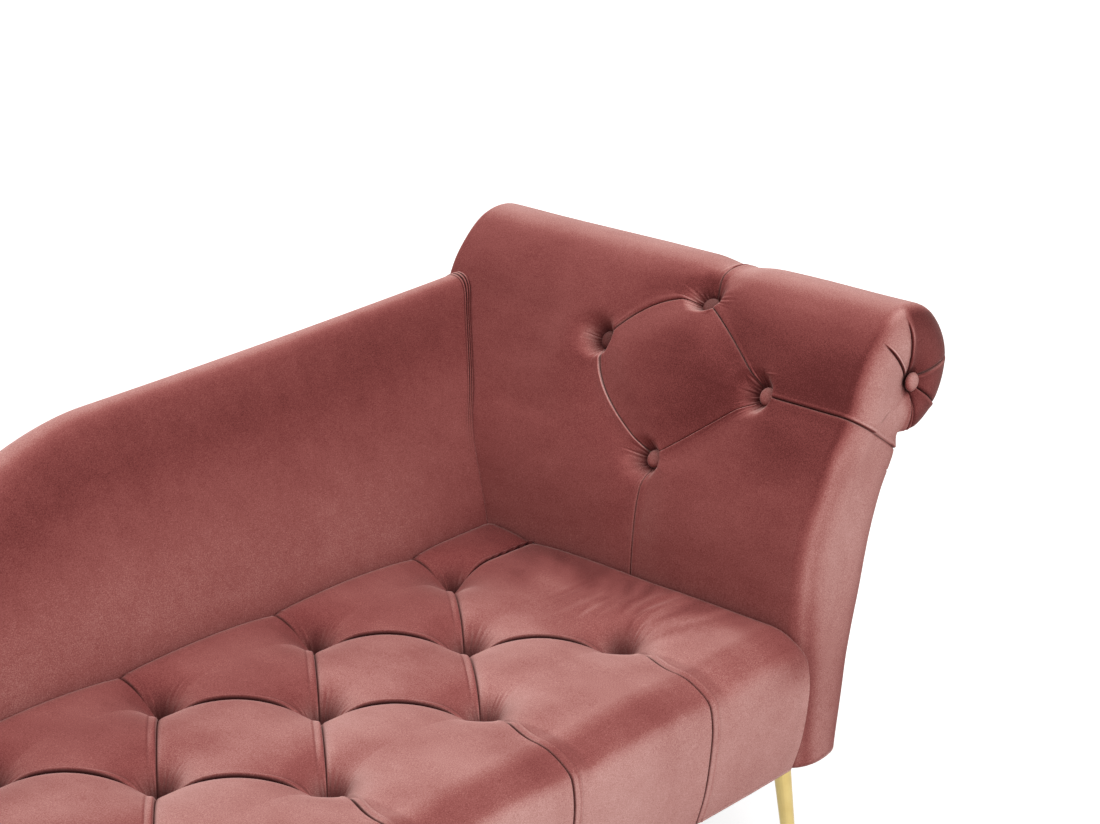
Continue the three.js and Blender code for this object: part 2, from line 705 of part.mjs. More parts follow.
// The seat's padding: its top, and a border of rings down to the frame's underside
const seatBody = () => {
  const [wide, deep] = [seatColumns.length, seatRows.length];
  const places = seatRows.flatMap((y) => seatColumns.map((x) => new THREE.Vector3(x, y, seatTop(x, y))));
  const faces = [];
  for (let row = 0; row + 1 < deep; row += 1) {
    for (let column = 0; column + 1 < wide; column += 1) {
      const a = row * wide + column;
      const [b, c, d] = [a + 1, a + wide + 1, a + wide];
      const middle = places[a].clone().add(places[c]).divideScalar(2);
      const [one, two] = creaseShares(middle.x, middle.y);
      faces.push(...(one > two ? [[a, b, c], [a, c, d]] : [[a, b, d], [b, c, d]]));
    }
  }
  const rim = [
    ...seatColumns.map((_, at) => at),
    ...seatRows.slice(1).map((_, at) => (at + 2) * wide - 1),
    ...seatColumns.slice(1).map((_, at) => deep * wide - 2 - at),
    ...seatRows.slice(1, -1).map((_, at) => (deep - 2 - at) * wide),
  ];
  const [left, right] = [seatColumns[0], seatColumns.at(-1)];
  const [front, rear] = [seatRows[0], seatRows.at(-1)];
  const outwards = ({ x, y }) => {
    const nearX = Math.max(noseReach - Math.min(x - left, right - x), 0) * (x - left < right - x ? -1 : 1);
    const nearY = Math.max(noseReach - Math.min(y - front, rear - y), 0) * (y - front < rear - y ? -1 : 1);
    return new THREE.Vector3(nearX, nearY, 0).normalize();
  };
  let ring = rim;
  noseShares.slice(1).forEach(([reach, drop]) => {
    const next = rim.map((at) => {
      const place = places[at];
      const [side] = creaseShares(place.x, place.y);
      const pleat = pleatDepth * (1 - rise(side * 2)) * reach;
      const out = place.clone().addScaledVector(outwards(place), noseReach * reach - pleat);
      out.z = THREE.MathUtils.lerp(place.z, frameBottom, drop);
      return out;
    });
    const start = places.length;
    places.push(...next);
    ring.forEach((at, side) => {
      const after = (side + 1) % rim.length;
      faces.push([at, start + side, start + after], [at, start + after, ring[after]]);
    });
    ring = next.map((_, at) => start + at);
  });
  places.push(new THREE.Vector3((left + right) / 2, (front + rear) / 2, frameBottom));
  ring.forEach((at, side) => faces.push([at, places.length - 1, ring[(side + 1) % ring.length]]));
  return skin(places, faces);
};

// What the back takes from the seat's padding
const backTrim = block([crestStart, armReach], [-clearance, farBehind], [-overrun, aboveAll]);
add('seat_cushion', velvet, cut(seatBody(), seatCore, backTrim, armTrim));

// The arm's tufts: a diamond of pits, with creases between them and out to the padding's edges
const alongArm = (share) => armFront + share * (backDepth - armFront);
const tuftAt = ([height, along]) => new THREE.Vector2(
  innerStation(armShareHeight(height)) * armLength, alongArm(along),
);
const [lowTuft, highTuft, frontTuft, rearTuft] = [lowTuftShares, highTuftShares, frontTuftShares, rearTuftShares]
  .map(tuftAt);
const armCreases = [
  [lowTuft, frontTuft], [lowTuft, rearTuft], [highTuft, frontTuft], [highTuft, rearTuft],
  [lowTuft, new THREE.Vector2(seatStation * armLength, lowTuft.y)],
  [highTuft, new THREE.Vector2(topStation * armLength + rollRadius, highTuft.y)],
  [frontTuft, new THREE.Vector2(frontTuft.x, armFront)],
];
const creaseDistance = (place, [from, to]) => {
  const whole = to.clone().sub(from);
  const share = THREE.MathUtils.clamp(place.clone().sub(from).dot(whole) / whole.lengthSq(), 0, 1);
  return place.distanceTo(from.clone().addScaledVector(whole, share));
};
const armSink = (station, y) => {
  const place = new THREE.Vector2(station * armLength, y);
  const creases = armCreases.map((crease) => (
    creaseDepth * Math.max(1 - creaseDistance(place, crease) / creaseWidth, 0)
  ));
  const pits = [lowTuft, highTuft, frontTuft, rearTuft].map((tuft) => (
    armTuftSink * Math.exp(-((place.distanceTo(tuft) / armTuftReach) ** 2))
  ));
  return Math.max(...creases, ...pits);
};
const roundTurns = [0, Math.PI / 6, Math.PI / 3];
const armRows = [
  ...roundTurns.map((turn) => [armFront + armEndRound * (1 - Math.cos(turn)), armEndRound * (1 - Math.sin(turn))]),
  ...[
    armFront + armEndRound, ...steps(armFront + armEndRound, frontTuft.y, 3), ...steps(frontTuft.y, lowTuft.y, 4),
    ...steps(lowTuft.y, rearTuft.y, 4), ...steps(rearTuft.y, backDepth - armEndRound, 4),
  ].map((y) => [y, 0]),
  ...roundTurns.toReversed().map((turn) => (
    [backDepth - armEndRound * (1 - Math.cos(turn)), armEndRound * (1 - Math.sin(turn))]
  )),
];
const armRings = armRows.map(([y, inset]) => armStations.map((station) => {
  const place = armInset(station, inset + (inset ? 0 : armSink(station, y)));
  return new THREE.Vector3(place.x, y, Math.max(place.z, frameBottom));
}));
const armSplit = (ring, at) => {
  const y = armRows[THREE.MathUtils.clamp(ring, 0, armRows.length - 1)][0];
  return (armStations[at] < sideStation) === (y >= lowTuft.y);
};

// Covered buttons sit in the pits and in the middle of the scroll's ends
const buttonBody = turned(buttonShares.map(([reach, height]) => [buttonRadius * reach, buttonHeight * height]));
const buttonRoom = turned([
  [0, -clearance], [buttonRadius + clearance, -clearance],
  [buttonRadius + clearance, buttonHeight + overrun], [0, buttonHeight + overrun],
]);
const placed = (solid, place, outwards) => {
  const turn = new THREE.Quaternion().setFromUnitVectors(new THREE.Vector3(0, 0, 1), outwards);
  return solidOf(geometryOf(solid).applyMatrix4(
    new THREE.Matrix4().compose(place, turn, new THREE.Vector3(1, 1, 1)),
  ));
};
const buttonPlace = ([height, along]) => {
  const station = innerStation(armShareHeight(height));
  const place = armInset(station, armTuftSink);
  const outwards = armInset(station, 0).sub(place).normalize();
  return [place.setY(alongArm(along)), outwards];
};
const armTufts = { low: lowTuftShares, front: frontTuftShares, rear: rearTuftShares, high: highTuftShares };
Object.entries(armTufts).forEach(([name, shares]) => {
  add(`arm_button_${name}`, velvet, placed(buttonBody, ...buttonPlace(shares)));
});
const rosetteHeight = rollCentre[1] - rosetteDropShare * rollRadius;
const rosette = (y, outY) => placed(
  buttonBody, new THREE.Vector3(rollCentre[0], y, rosetteHeight), new THREE.Vector3(0, outY, 0),
);
add('rosette_front', velvet, rosette(armFront - clearance, -1));
add('rosette_rear', velvet, rosette(backDepth + clearance, 1));

// The arm's padding, hollowed for its frame and open on the outside under the roll
const coreInset = armPad - armDeckThickness - 2 * clearance;
const armCorePlaces = armStations.filter((station) => station <= tuckStation)
  .map((station) => flatArm(armInset(station, coreInset)));
const armTuck = flatArm(armInset(tuckStation, -clearance));
const armCore = prism('y', [
  [armCorePlaces[0][0], -overrun], ...armCorePlaces, armTuck, [armTuck[0], -overrun],
], frontPanelOuter - clearance, rearPlane + clearance);
add('arm_cushion', velvet, cut(
  loft(armRings, armSplit), armCore, seatCore, topRailTrim,
  ...Object.values(armTufts).map((shares) => placed(buttonRoom, ...buttonPlace(shares))),
));
add('arm_deck', board, cut(prism(
  'y', armStrip(lowBattenStation, tuckStation, armPad - clearance - armDeckThickness, armPad - clearance),
  frontPanelOuter, rearPlane,
), topRailTrim));
const outerPanelTop = tuckStation + clearance / armLength;
add('arm_outer_panel', velvet, cut(
  prism('y', armStrip(outerPanelTop, 1, 0, outerPad - clearance), frontPanelOuter, rearPlane),
  block([-overrun, armReach + overrun], [armFront, backDepth], [0, frameBottom]),
));

// The back's padding: rings from the foot end to the arm
const widest = noseShares.findIndex(([reach]) => reach === 1);
const borderShift = (height) => {
  const drop = (lipHeight + crownHeight - height) / (seatBoxHeight + crownHeight);
  const at = Math.min(noseShares.findLastIndex((share) => share[1] <= drop), noseShares.length - 2);
  if (at < widest) {
    return 0;
  }
  const [[reachA, dropA], [reachB, dropB]] = noseShares.slice(at, at + 2);
  return noseReach * (1 - THREE.MathUtils.mapLinear(drop, dropA, dropB, reachA, reachB));
};
const backRing = (x, inset, atEnd) => {
  const top = crest(x) - inset;
  const cap = Math.min(backCap, (top - seamHeight) * capShare);
  const side = top - cap;
  const inner = [frameBottom, seamHeight, ...steps(seamHeight, side, leanSteps)]
    .map((height) => [lean(height) + inset, height]);
  const [innerEdge, outerEdge] = [inner.at(-1)[0], backDepth - inset];
  const [middle, reach] = [(innerEdge + outerEdge) / 2, (outerEdge - innerEdge) / 2];
  const over = steps(Math.PI, 0, capSteps).map((turn) => (
    [middle + reach * Math.cos(turn), side + cap * Math.sin(turn)]
  ));
  const outer = inner.slice(0, -1).toReversed().map(([, height]) => [outerEdge, height]);
  return [...inner, ...over, ...outer].map(([y, height]) => (
    new THREE.Vector3(x + (atEnd ? borderShift(height) : 0), y, height)
  ));
};
const backRows = [
  ...roundTurns.map((turn) => [
    seatFoot + backEndRound * (1 - Math.cos(turn)), backEndRound * (1 - Math.sin(turn)), true,
  ]),
  ...[seatFoot + backEndRound, ...steps(seatFoot + backEndRound, armReach - rollRadius, crestSteps)]
    .map((x, at) => [x, 0, at < 1]),
];
const backHollow = [
  cut(
    behindLean(backDeckShift - clearance, -overrun, footRailOuter - clearance, armReach),
    block([crestStart, armReach], [rearPlane + clearance, farBehind], [-2 * overrun, aboveAll]),
    overCrest(topRailDrop - clearance),
  ),
  underCrest(crestPad - clearance, rearPanelInner - clearance, rearPlane + clearance),
  underCrest(crestDrop, rearPlane, backDepth + overrun),
].map((solid) => cut(solid, block(
  [crestStart - overrun, footRailOuter - clearance], [-overrun, farBehind], [-2 * overrun, aboveAll],
)));
add('back_cushion', velvet, cut(
  loft(backRows.map((row) => backRing(...row))), ...backHollow, seatCore, armTrim,
));
add('back_outer_panel', velvet, cut(
  underCrest(crestDrop + clearance, rearPlane + clearance, backDepth), armTrim,
  block([crestStart - overrun, footRailOuter], [0, backDepth + overrun], [-2 * overrun, aboveAll]),
  block([crestStart - overrun, armReach + overrun], [0, backDepth + overrun], [-2 * overrun, frameBottom]),
));

// The dust cover hides the frame's underside between the leg plates
add('dust_cover', blackCloth, cut(
  block(
    [footRailOuter + coverEdge, headRailOuter - coverEdge], [frontRailOuter + coverEdge, backDepth - outerPad / 2],
    [plateTop - coverThickness, plateTop],
  ),
  ...Object.values(legPlaces).map((place) => plateBlock(place, clearance)),
));

// The origin is the middle of the footprint, on the floor
const bounds = new THREE.Box3().setFromObject(couch);
const centre = bounds.getCenter(new THREE.Vector3());
couch.position.set(-centre.x, -centre.y, 0);

export default couch;
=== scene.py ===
import math

import bmesh
import bpy
import numpy as np
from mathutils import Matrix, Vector


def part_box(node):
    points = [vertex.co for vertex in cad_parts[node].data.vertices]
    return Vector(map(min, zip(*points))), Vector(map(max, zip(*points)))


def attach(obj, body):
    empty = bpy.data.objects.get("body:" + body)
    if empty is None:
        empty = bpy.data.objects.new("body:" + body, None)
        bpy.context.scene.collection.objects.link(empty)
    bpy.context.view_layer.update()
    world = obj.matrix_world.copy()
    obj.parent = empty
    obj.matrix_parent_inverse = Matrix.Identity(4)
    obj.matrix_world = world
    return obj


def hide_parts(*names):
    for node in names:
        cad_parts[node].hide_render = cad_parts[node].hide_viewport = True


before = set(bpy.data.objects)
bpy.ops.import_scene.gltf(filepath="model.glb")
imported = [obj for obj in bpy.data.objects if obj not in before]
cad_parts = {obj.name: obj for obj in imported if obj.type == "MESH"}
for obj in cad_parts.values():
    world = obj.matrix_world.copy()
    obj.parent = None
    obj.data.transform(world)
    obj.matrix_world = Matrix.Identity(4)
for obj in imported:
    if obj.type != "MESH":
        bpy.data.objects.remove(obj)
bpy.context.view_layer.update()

# Lengths are millimetres in the part's own frame: x is 0 at the arm's inner face, y is 0 at the back's inner
# face, z is 0 on the floor. to_world turns them into the frame's metres.
MM = 0.001
SEAT_LENGTH, SEAT_DEPTH = 1262.0, 535.0
FLOOR_GAP, LIP = 215.0, 370.0
ARM_HEIGHT, ARM_REACH = 542.0, 285.0
ARM_FRONT, BACK_DEPTH = -522.0, 177.0
seat_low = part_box("seat_cushion")[0]
SHIFT = np.array([seat_low.x / MM + SEAT_LENGTH, seat_low.y / MM + SEAT_DEPTH, 0.0])


def to_world(points):
    return (np.asarray(points, float) + SHIFT) * MM


def part_way(value, low, high):
    return np.clip((value - low) / (high - low), 0.0, 1.0)


def smooth(value, low, high):
    share = part_way(value, low, high)
    return share * share * (3 - 2 * share)


def bell(away, width):
    return np.exp(-((away / width) ** 2))


def rise(share):
    return np.sin(np.pi / 2 * np.clip(share, 0.0, 1.0))


def round_drop(away, radius):
    """Drop of a rounded edge, from 1 at the edge to 0 at the radius."""
    turn = np.clip(1 - away / radius, 0, 1)
    return 1 - np.sqrt(np.maximum(1 - turn ** 2, 0))


def lengths(line):
    """How far along a line each of its points lies."""
    return np.concatenate([[0], np.cumsum(np.linalg.norm(np.diff(line, axis=0), axis=1))])


def place_at(gone, line_gone, line):
    """The line's place after that length."""
    return np.stack([np.interp(gone, line_gone, line[:, 0]), np.interp(gone, line_gone, line[:, 1])], -1)


# Meshes
WELD_TILE, WELD_START = 0.02, 0.3137


class Shell:
    """Grids and single faces that are welded into one closed mesh."""

    def __init__(self):
        self.points, self.grooves, self.faces, self.count = [], [], [], 0

    def take(self, points, groove=None):
        index = self.count + np.arange(len(points))
        self.points.append(points)
        self.grooves.append(np.zeros(len(points)) if groove is None else groove.reshape(-1))
        self.count += len(points)
        return index

    def grid(self, points, flip=False, groove=None):
        index = self.take(points.reshape(-1, 3), groove).reshape(points.shape[:2])
        quads = np.stack([index[:-1, :-1], index[1:, :-1], index[1:, 1:], index[:-1, 1:]], -1).reshape(-1, 4)
        self.faces.extend((quads[:, ::-1] if flip else quads).tolist())

    def face(self, points, flip=False):
        index = self.take(np.asarray(points, float)).tolist()
        self.faces.append(index[::-1] if flip else index)

    def build(self, name, material, painted_light=None):
        points = np.concatenate(self.points)
        keys = np.floor(points / WELD_TILE + WELD_START).astype(np.int64)
        _, first, into = np.unique(keys, axis=0, return_index=True, return_inverse=True)
        into = into.reshape(-1).tolist()
        faces = []
        for face in self.faces:
            ring = [into[at] for at in face]
            ring = [at for at, before in zip(ring, ring[-1:] + ring[:-1]) if at != before]
            if len(ring) > 2 and len(set(ring)) == len(ring):
                faces.append(ring)
        mesh = bpy.data.meshes.new(name)
        mesh.from_pydata(to_world(points[first]).tolist(), [], faces)
        work = bmesh.new()
        work.from_mesh(mesh)
        bmesh.ops.recalc_face_normals(work, faces=work.faces)
        work.to_mesh(mesh)
        work.free()
        mesh.polygons.foreach_set("use_smooth", [len(face) < 5 for face in faces])
        mesh.update()
        mesh.materials.append(material)
        # The painted_light function gives each point painted light and shade by its place and facing; the
        # groove values are painted shade in folds, holes and edges, and painted highlights below 0.
        if painted_light:
            normals = np.zeros(len(mesh.vertices) * 3)
            mesh.vertex_normals.foreach_get("vector", normals)
            shade = np.clip(painted_light(points[first], normals.reshape(-1, 3)), 0.0, 1.0)
            for key, values in (("painted_light", shade), ("groove", np.concatenate(self.grooves)[first])):
                attribute = mesh.attributes.new(key, "FLOAT", "POINT")
                attribute.data.foreach_set("value", values.astype(np.float32))
        piece = bpy.data.objects.new(name, mesh)
        bpy.context.scene.collection.objects.link(piece)
        return piece


def spline(places, fine):
    """A centripetal curve through the places, as dense points."""
    line = np.array(places, float)
    line = np.vstack([2 * line[0] - line[1], line, 2 * line[-1] - line[-2]])
    out = []
    share = np.linspace(0, 1, fine, endpoint=False)[:, None]
    for a, b, c, d in zip(line, line[1:], line[2:], line[3:]):
        t0, t1, t2 = (math.sqrt(np.linalg.norm(v)) for v in (b - a, c - b, d - c))
        start = ((b - a) / t0 - (c - a) / (t0 + t1) + (c - b) / t1) * t1
        end = ((c - b) / t1 - (d - b) / (t1 + t2) + (d - c) / t2) * t1
        s2, s3 = share ** 2, share ** 3
        out.append(b * (2 * s3 - 3 * s2 + 1) + start * (s3 - 2 * s2 + share)
                   + c * (3 * s2 - 2 * s3) + end * (s3 - s2))
    out.append(line[-2][None])
    return np.concatenate(out)


def wander(x, y, seed, size, octaves=2):
    """Slow, repeatable unevenness of hand-filled padding, from -1 to 1."""
    rng = np.random.default_rng(seed)
    total = np.zeros(np.broadcast(x, y).shape)
    for octave in range(octaves):
        for _ in range(5):
            turn, phase = rng.uniform(0, 2 * np.pi, 2)
            scale = 2 * np.pi / size * (1 + octave) * rng.uniform(0.7, 1.3)
            along = x * math.cos(turn) + y * math.sin(turn)
            total = total + np.sin(along * scale + phase) / (1 + octave)
    return total / (5 * sum(1 / (1 + octave) for octave in range(octaves)))


# Materials
# The velvet's colours for its painted light and shade, from the darkest painted shade to the brightest
# painted sheen
PAINTED_LIGHT_TONES = ((0.0, (92, 41, 40)), (0.22, (125, 64, 62)), (0.45, (150, 88, 84)), (0.7, (182, 128, 122)),
             (1.0, (212, 167, 161)))
# Colour of the painted shade in folds, holes and edges, and the tint of the shader's sheen
PAINTED_SHADE_TONE, SHEEN_TONE = (30, 7, 8), (247, 206, 198)


def srgb(*rgb):
    """An 8-bit colour as the linear colour that a shader takes."""
    shares = [v / 255 for v in rgb]
    return (*(v / 12.92 if v <= 0.04045 else ((v + 0.055) / 1.055) ** 2.4 for v in shares), 1.0)


class Nodes:
    """A node tree, with short calls to add and link its nodes."""

    def __init__(self, tree):
        self.tree = tree

    def put(self, socket, source):
        """Link a node's output to the socket, or set the socket to a plain value."""
        if hasattr(source, "is_output"):
            self.tree.links.new(source, socket)
        else:
            socket.default_value = source

    def add(self, kind, sources=None, **values):
        node = self.tree.nodes.new(kind)
        for key, value in values.items():
            setattr(node, key, value)
        for key, source in (sources or {}).items():
            self.put(node.inputs[key], source)
        return node

    def noise(self, scale, detail, rough, place):
        sources = {"Scale": scale, "Detail": detail, "Roughness": rough, "Vector": place}
        return self.add("ShaderNodeTexNoise", sources).outputs["Fac"]

    def ramp(self, source, *stops):
        node = self.add("ShaderNodeValToRGB", {"Fac": source})
        ramp = node.color_ramp
        while len(ramp.elements) < len(stops):
            ramp.elements.new(0.5)
        for element, (at, colour) in zip(ramp.elements, stops):
            element.position = at
            element.color = colour if isinstance(colour, tuple) else (colour, colour, colour, 1)
        return node.outputs["Color"]

    def mix(self, share, one, two, kind="MIX"):
        sources = {0: share, 6: one, 7: two}
        return self.add("ShaderNodeMix", sources, data_type="RGBA", blend_type=kind).outputs[2]

    def math(self, kind, *sources):
        return self.add("ShaderNodeMath", dict(enumerate(sources)), operation=kind).outputs[0]

    def fade(self, source, low, high, start=0.0, end=1.0):
        """From low to high while the source goes from start to end."""
        sources = {"Value": source, "From Min": start, "From Max": end, "To Min": low, "To Max": high}
        return self.add("ShaderNodeMapRange", sources).outputs["Result"]

    def seen_rays(self):
        """1 for the rays that see the plain white background: camera, glossy and transmission rays."""
        rays = self.add("ShaderNodeLightPath").outputs
        seen = self.math("MAXIMUM", rays["Is Camera Ray"], rays["Is Glossy Ray"])
        return self.math("MAXIMUM", seen, rays["Is Transmission Ray"])


class Finish(Nodes):
    """A material's nodes round its shader."""

    def __init__(self, name):
        self.material = bpy.data.materials.new(name)
        self.material.use_nodes = True
        super().__init__(self.material.node_tree)
        self.shader = self.tree.nodes["Principled BSDF"]
        self.place = self.add("ShaderNodeTexCoord").outputs["Object"]

    def stretch(self, scale):
        return self.add("ShaderNodeMapping", {"Vector": self.place, "Scale": scale}).outputs["Vector"]

    def bump(self, height, strength, distance, **before):
        sources = {"Height": height, "Strength": strength, "Distance": distance, **before}
        return self.add("ShaderNodeBump", sources).outputs["Normal"]

    def wire(self, **sockets):
        for key, source in sockets.items():
            self.put(self.shader.inputs[key.replace("_", " ")], source)
        return self.material


def velvet_material():
    n = Finish("velvet_pile")
    # The base colour holds painted light and shade: the painted_light attribute picks the tone, and the
    # noises add tone that differs at random.
    tone = n.add("ShaderNodeAttribute", attribute_name="painted_light").outputs["Fac"]
    groove = n.add("ShaderNodeAttribute", attribute_name="groove").outputs["Fac"]
    broad = n.noise(9.0, 3.0, 0.6, n.place)
    brushed = n.noise(34.0, 5.0, 0.68, n.stretch((1.0, 0.45, 1.0)))
    pile = n.noise(760.0, 3.0, 0.75, n.place)
    for drift, strength in ((broad, 0.1), (brushed, 0.2), (pile, 0.95)):
        tone = n.math("ADD", tone, n.math("MULTIPLY", n.math("SUBTRACT", drift, 0.5), strength))
    # painted highlights on ridges, where the painted shading falls below 0
    tone = n.math("ADD", tone, n.math("MULTIPLY", n.math("MINIMUM", groove, 0.0), -0.55))
    tone = n.ramp(tone, *[(at, srgb(*rgb)) for at, rgb in PAINTED_LIGHT_TONES])
    # painted shade in folds, holes and edges, where the painted shading rises above 0
    dark = n.math("MAXIMUM", groove, 0.0)
    tone = n.mix(n.math("MULTIPLY", dark, 0.92), tone, srgb(*PAINTED_SHADE_TONE))
    return n.wire(
        Base_Color=tone, Roughness=n.math("MULTIPLY_ADD", brushed, 0.12, 0.78),
        Normal=n.bump(pile, 0.3, 0.0007, Normal=n.bump(brushed, 0.1, 0.003)),
        Sheen_Weight=n.math("MULTIPLY", n.math("SUBTRACT", 1.0, dark), 0.6), Sheen_Roughness=0.3,
        Sheen_Tint=srgb(*SHEEN_TONE), Specular_IOR_Level=0.06,
    )


def metal_material(name, light, dark, rough, streak):
    n = Finish(name)
    brushed = n.noise(60.0, 4.0, 0.6, n.stretch(streak))
    mottle = n.noise(22.0, 3.0, 0.55, n.place)
    tone = n.mix(n.ramp(mottle, (0.3, 0.0), (0.75, 1.0)), srgb(*light), srgb(*dark))
    gloss = n.math("MULTIPLY_ADD", brushed, 0.16, rough - 0.08)
    return n.wire(Base_Color=tone, Roughness=gloss, Metallic=1.0, Normal=n.bump(brushed, 0.12, 0.0004))


def wood_material(name, light, dark, stretch):
    n = Finish(name)
    along = n.stretch(stretch)
    grain = n.noise(9.0, 8.0, 0.68, along)
    pores = n.noise(120.0, 3.0, 0.6, along)
    tone = n.ramp(grain, (0.34, srgb(*dark)), (0.62, srgb(*light)))
    tone = n.mix(0.35, tone, n.ramp(pores, (0.4, 0.72), (0.55, 1.0)), "MULTIPLY")
    rough = n.math("MULTIPLY_ADD", pores, 0.2, 0.55)
    return n.wire(Base_Color=tone, Roughness=rough, Normal=n.bump(pores, 0.25, 0.0005))


def cloth_material(name, light, dark, thread):
    n = Finish(name)
    warp = n.noise(thread, 2.0, 0.5, n.stretch((1, 0.08, 1)))
    weft = n.noise(thread, 2.0, 0.5, n.stretch((0.08, 1, 1)))
    weave = n.math("ADD", n.math("MULTIPLY", warp, 0.5), n.math("MULTIPLY", weft, 0.5))
    tone = n.mix(n.ramp(weave, (0.35, 0.0), (0.65, 1.0)), srgb(*dark), srgb(*light))
    return n.wire(Base_Color=tone, Roughness=0.92, Normal=n.bump(weave, 0.4, 0.0005), Sheen_Weight=0.1)


def plain_material(name, tone, rough):
    n = Finish(name)
    fine = n.noise(300.0, 3.0, 0.6, n.place)
    colour = n.mix(1.0, srgb(*tone), n.ramp(fine, (0.3, 0.86), (0.7, 1.08)), "MULTIPLY")
    gloss = n.math("MULTIPLY_ADD", fine, 0.14, rough)
    return n.wire(Base_Color=colour, Roughness=gloss, Normal=n.bump(fine, 0.15, 0.0003))


velvet = velvet_material()
finishes = {
    "hardwood": wood_material("beech", (203, 160, 108), (150, 106, 66), (0.35, 4.0, 4.0)),
    "plywood": wood_material("birch_ply", (216, 184, 134), (178, 140, 92), (2.5, 2.5, 0.6)),
    "board": wood_material("fibre_board", (168, 132, 92), (132, 100, 66), (3.0, 3.0, 3.0)),
    "spring_steel": metal_material("spring_wire", (120, 124, 130), (84, 88, 94), 0.42, (1, 1, 1)),
    "zinc_steel": metal_material("zinc_plate", (184, 188, 192), (150, 154, 160), 0.46, (1, 6, 1)),
    "brass": metal_material("brass_satin", (208, 187, 127), (190, 166, 105), 0.3, (8, 8, 0.4)),
    "nylon": plain_material("nylon_glide", (44, 42, 40), 0.55),
    "deck_cloth": cloth_material("deck_canvas", (212, 202, 180), (186, 174, 150), 1400.0),
    "black_cloth": cloth_material("cover_cloth", (40, 39, 39), (22, 21, 21), 1200.0),
    "velvet": velvet,
}


def finish(piece, slot, *nodes, fill=None):
    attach(piece, "root")
    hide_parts(*nodes)


# Folds
# Reach from a fold at which the mesh has its lines: close together beside it, wide apart in the open
REACHES = np.array([0, 0.7, 1.5, 2.5, 3.6, 4.8, 6, 7.6, 9.6, 11.2, 12, 12.9, 13.9, 15.6, 18, 21, 24.5, 28, 32,
                    37, 44, 54, 68, 90, 117.5])


def cell_lines(start, end):
    """Lines of one cell, from start to end, which may meet: places and their distances from both ends."""
    half = np.maximum(np.abs(end - start) / 2, 1e-9)[..., None]
    near = REACHES / (1 + REACHES * (1 / half - 1 / REACHES[-1]))
    whole = 2 * half
    gone = np.concatenate([near, (whole - near[..., -2::-1])], -1)
    gone = np.where(half < 1e-6, 0.0, gone)
    sign = np.sign(end - start)[..., None]
    return start[..., None] + sign * gone, gone, whole - gone


def lines_beside(place, reach):
    """The mesh's lines on both sides of a fold, up to that reach."""
    near = REACHES[REACHES < reach]
    return {round(place - d, 3) for d in near} | {round(place + d, 3) for d in near}


def fill_in(places, step):
    """The places, with more of them between, about a step apart."""
    full = []
    for a, b in zip(places, places[1:]):
        count = max(1, int(round((b - a) / step)))
        full += [a + (b - a) * at / count for at in range(count)]
    return np.array(full + [places[-1]])


# Heights at these reaches from a fold's line: first on its lip, then on the band of turned-in cloth. Past the
# values given here, they are 0. FAR is farther than any fold reaches.
FOLD_REACH = [0, 0.7, 1.5, 2.5, 3.6, 4.8, 6, 9.6, 11.2, 12.4, 13.6, 15.6, 21]
FAR = 99
HEIGHT = {
    "arc": ([-9, -2.6, -0.9, -0.5, -0.4, -0.3, -0.2], [-9, -1.5, 2.0, 3.2, 2.9, 1.2, 0.5, 0.2, 0.1]),
    "steep": ([-5, -2.8, -1.6, -1.0, -0.7, -0.5, -0.3, -0.1],
              [-4.5, 0.6, 1.9, 1.9, 1.6, 1.3, 0.9, -0.5, 0.2, 0.1]),
    "pleat": ([-9, -4.5, 0.5, 1.1, 0.3, 0.5, 0.3, 0.1],
              [-9, -9, -8, -5, -2.4, -1.2, -1.1, -0.9, -0.5, 0.9, 0.2, 0.1]),
    "arm": ([-6, -2.6, -0.9, -0.5, -0.3, -0.2, -0.1], [-6, -0.6, 1.5, 1.7, 1.4, 0.9, 0.5, 0.2]),
}
# Painted shade in the gap at the same reaches, from 0 to 1. Negative values are painted highlights on ridges
# that catch the light.
PAINTED_FOLD_SHADING = {
    "arc": ([1, 1, 0.1, -0.5, -0.2], [1, 1, 1, -0.3, -0.3, 0.35, 0.1]),
    "steep": ([1, 0.5, 0.15, 0.05], [0.9, 0, -0.6, -0.4, -0.1, 0, 0, 0.15]),
    "pleat": ([1, 0.8, -0.2, -0.5, -0.1], [1, 1, 1, 1, 0.7, 0.1, 0, 0, 0.1, -0.7, 0.1]),
    "arm": ([1, 0.8, 0.2], [1, 0.5, -0.6, -0.5, -0.2]),
}


def beside_fold(table, kind, on_band, away):
    values = [*table[kind][on_band], 0]
    return np.interp(away, FOLD_REACH[:len(values)], values)


def across_fold(table, kind, d):
    """The table's value on either side of a fold's line. The band lies where d is above 0."""
    away = np.abs(d)
    return np.where(d > 0, beside_fold(table, kind, 1, away), beside_fold(table, kind, 0, away))


def join_cells(cells):
    """One grid of lines, heights and painted shade from cells that share their outer lines."""
    return [np.concatenate([parts[0]] + [part[:, 1:] for part in parts[1:]], 1) for parts in zip(*cells)]


def stronger(one, two):
    """The one of two painted shading values that lies farther from 0."""
    return np.where(np.abs(two) > np.abs(one), two, one)


def radial_creases(angle, away, seed, count, from_r, to_r, deep, breadth=1.0):
    """Small creases that run out of a pit."""
    rng = np.random.default_rng(seed)
    total = np.zeros_like(away)
    for at in range(count):
        turn = 2 * np.pi * (at + rng.uniform(-0.36, 0.36)) / count
        far = to_r * rng.uniform(0.55, 1.0)
        wide = rng.uniform(0.8, 1.35) * breadth
        gap = (angle - turn + np.pi) % (2 * np.pi) - np.pi
        across = np.abs(gap) * away
        along = smooth(away, from_r * 0.5, from_r * 1.6) * (1 - smooth(away, far * 0.55, far))
        total -= deep * rng.uniform(0.5, 1.0) * along * bell(across, wide)
        total += 0.45 * deep * along * bell(across - 2.3 * wide, 1.1 * wide)
    return total


def pit_creases(angle, away, limit, *sizes):
    """Small creases round a pit, only as far as the limit."""
    total = np.zeros_like(away)
    close = away < limit
    total[close] = radial_creases(angle[close], away[close], *sizes)
    return total


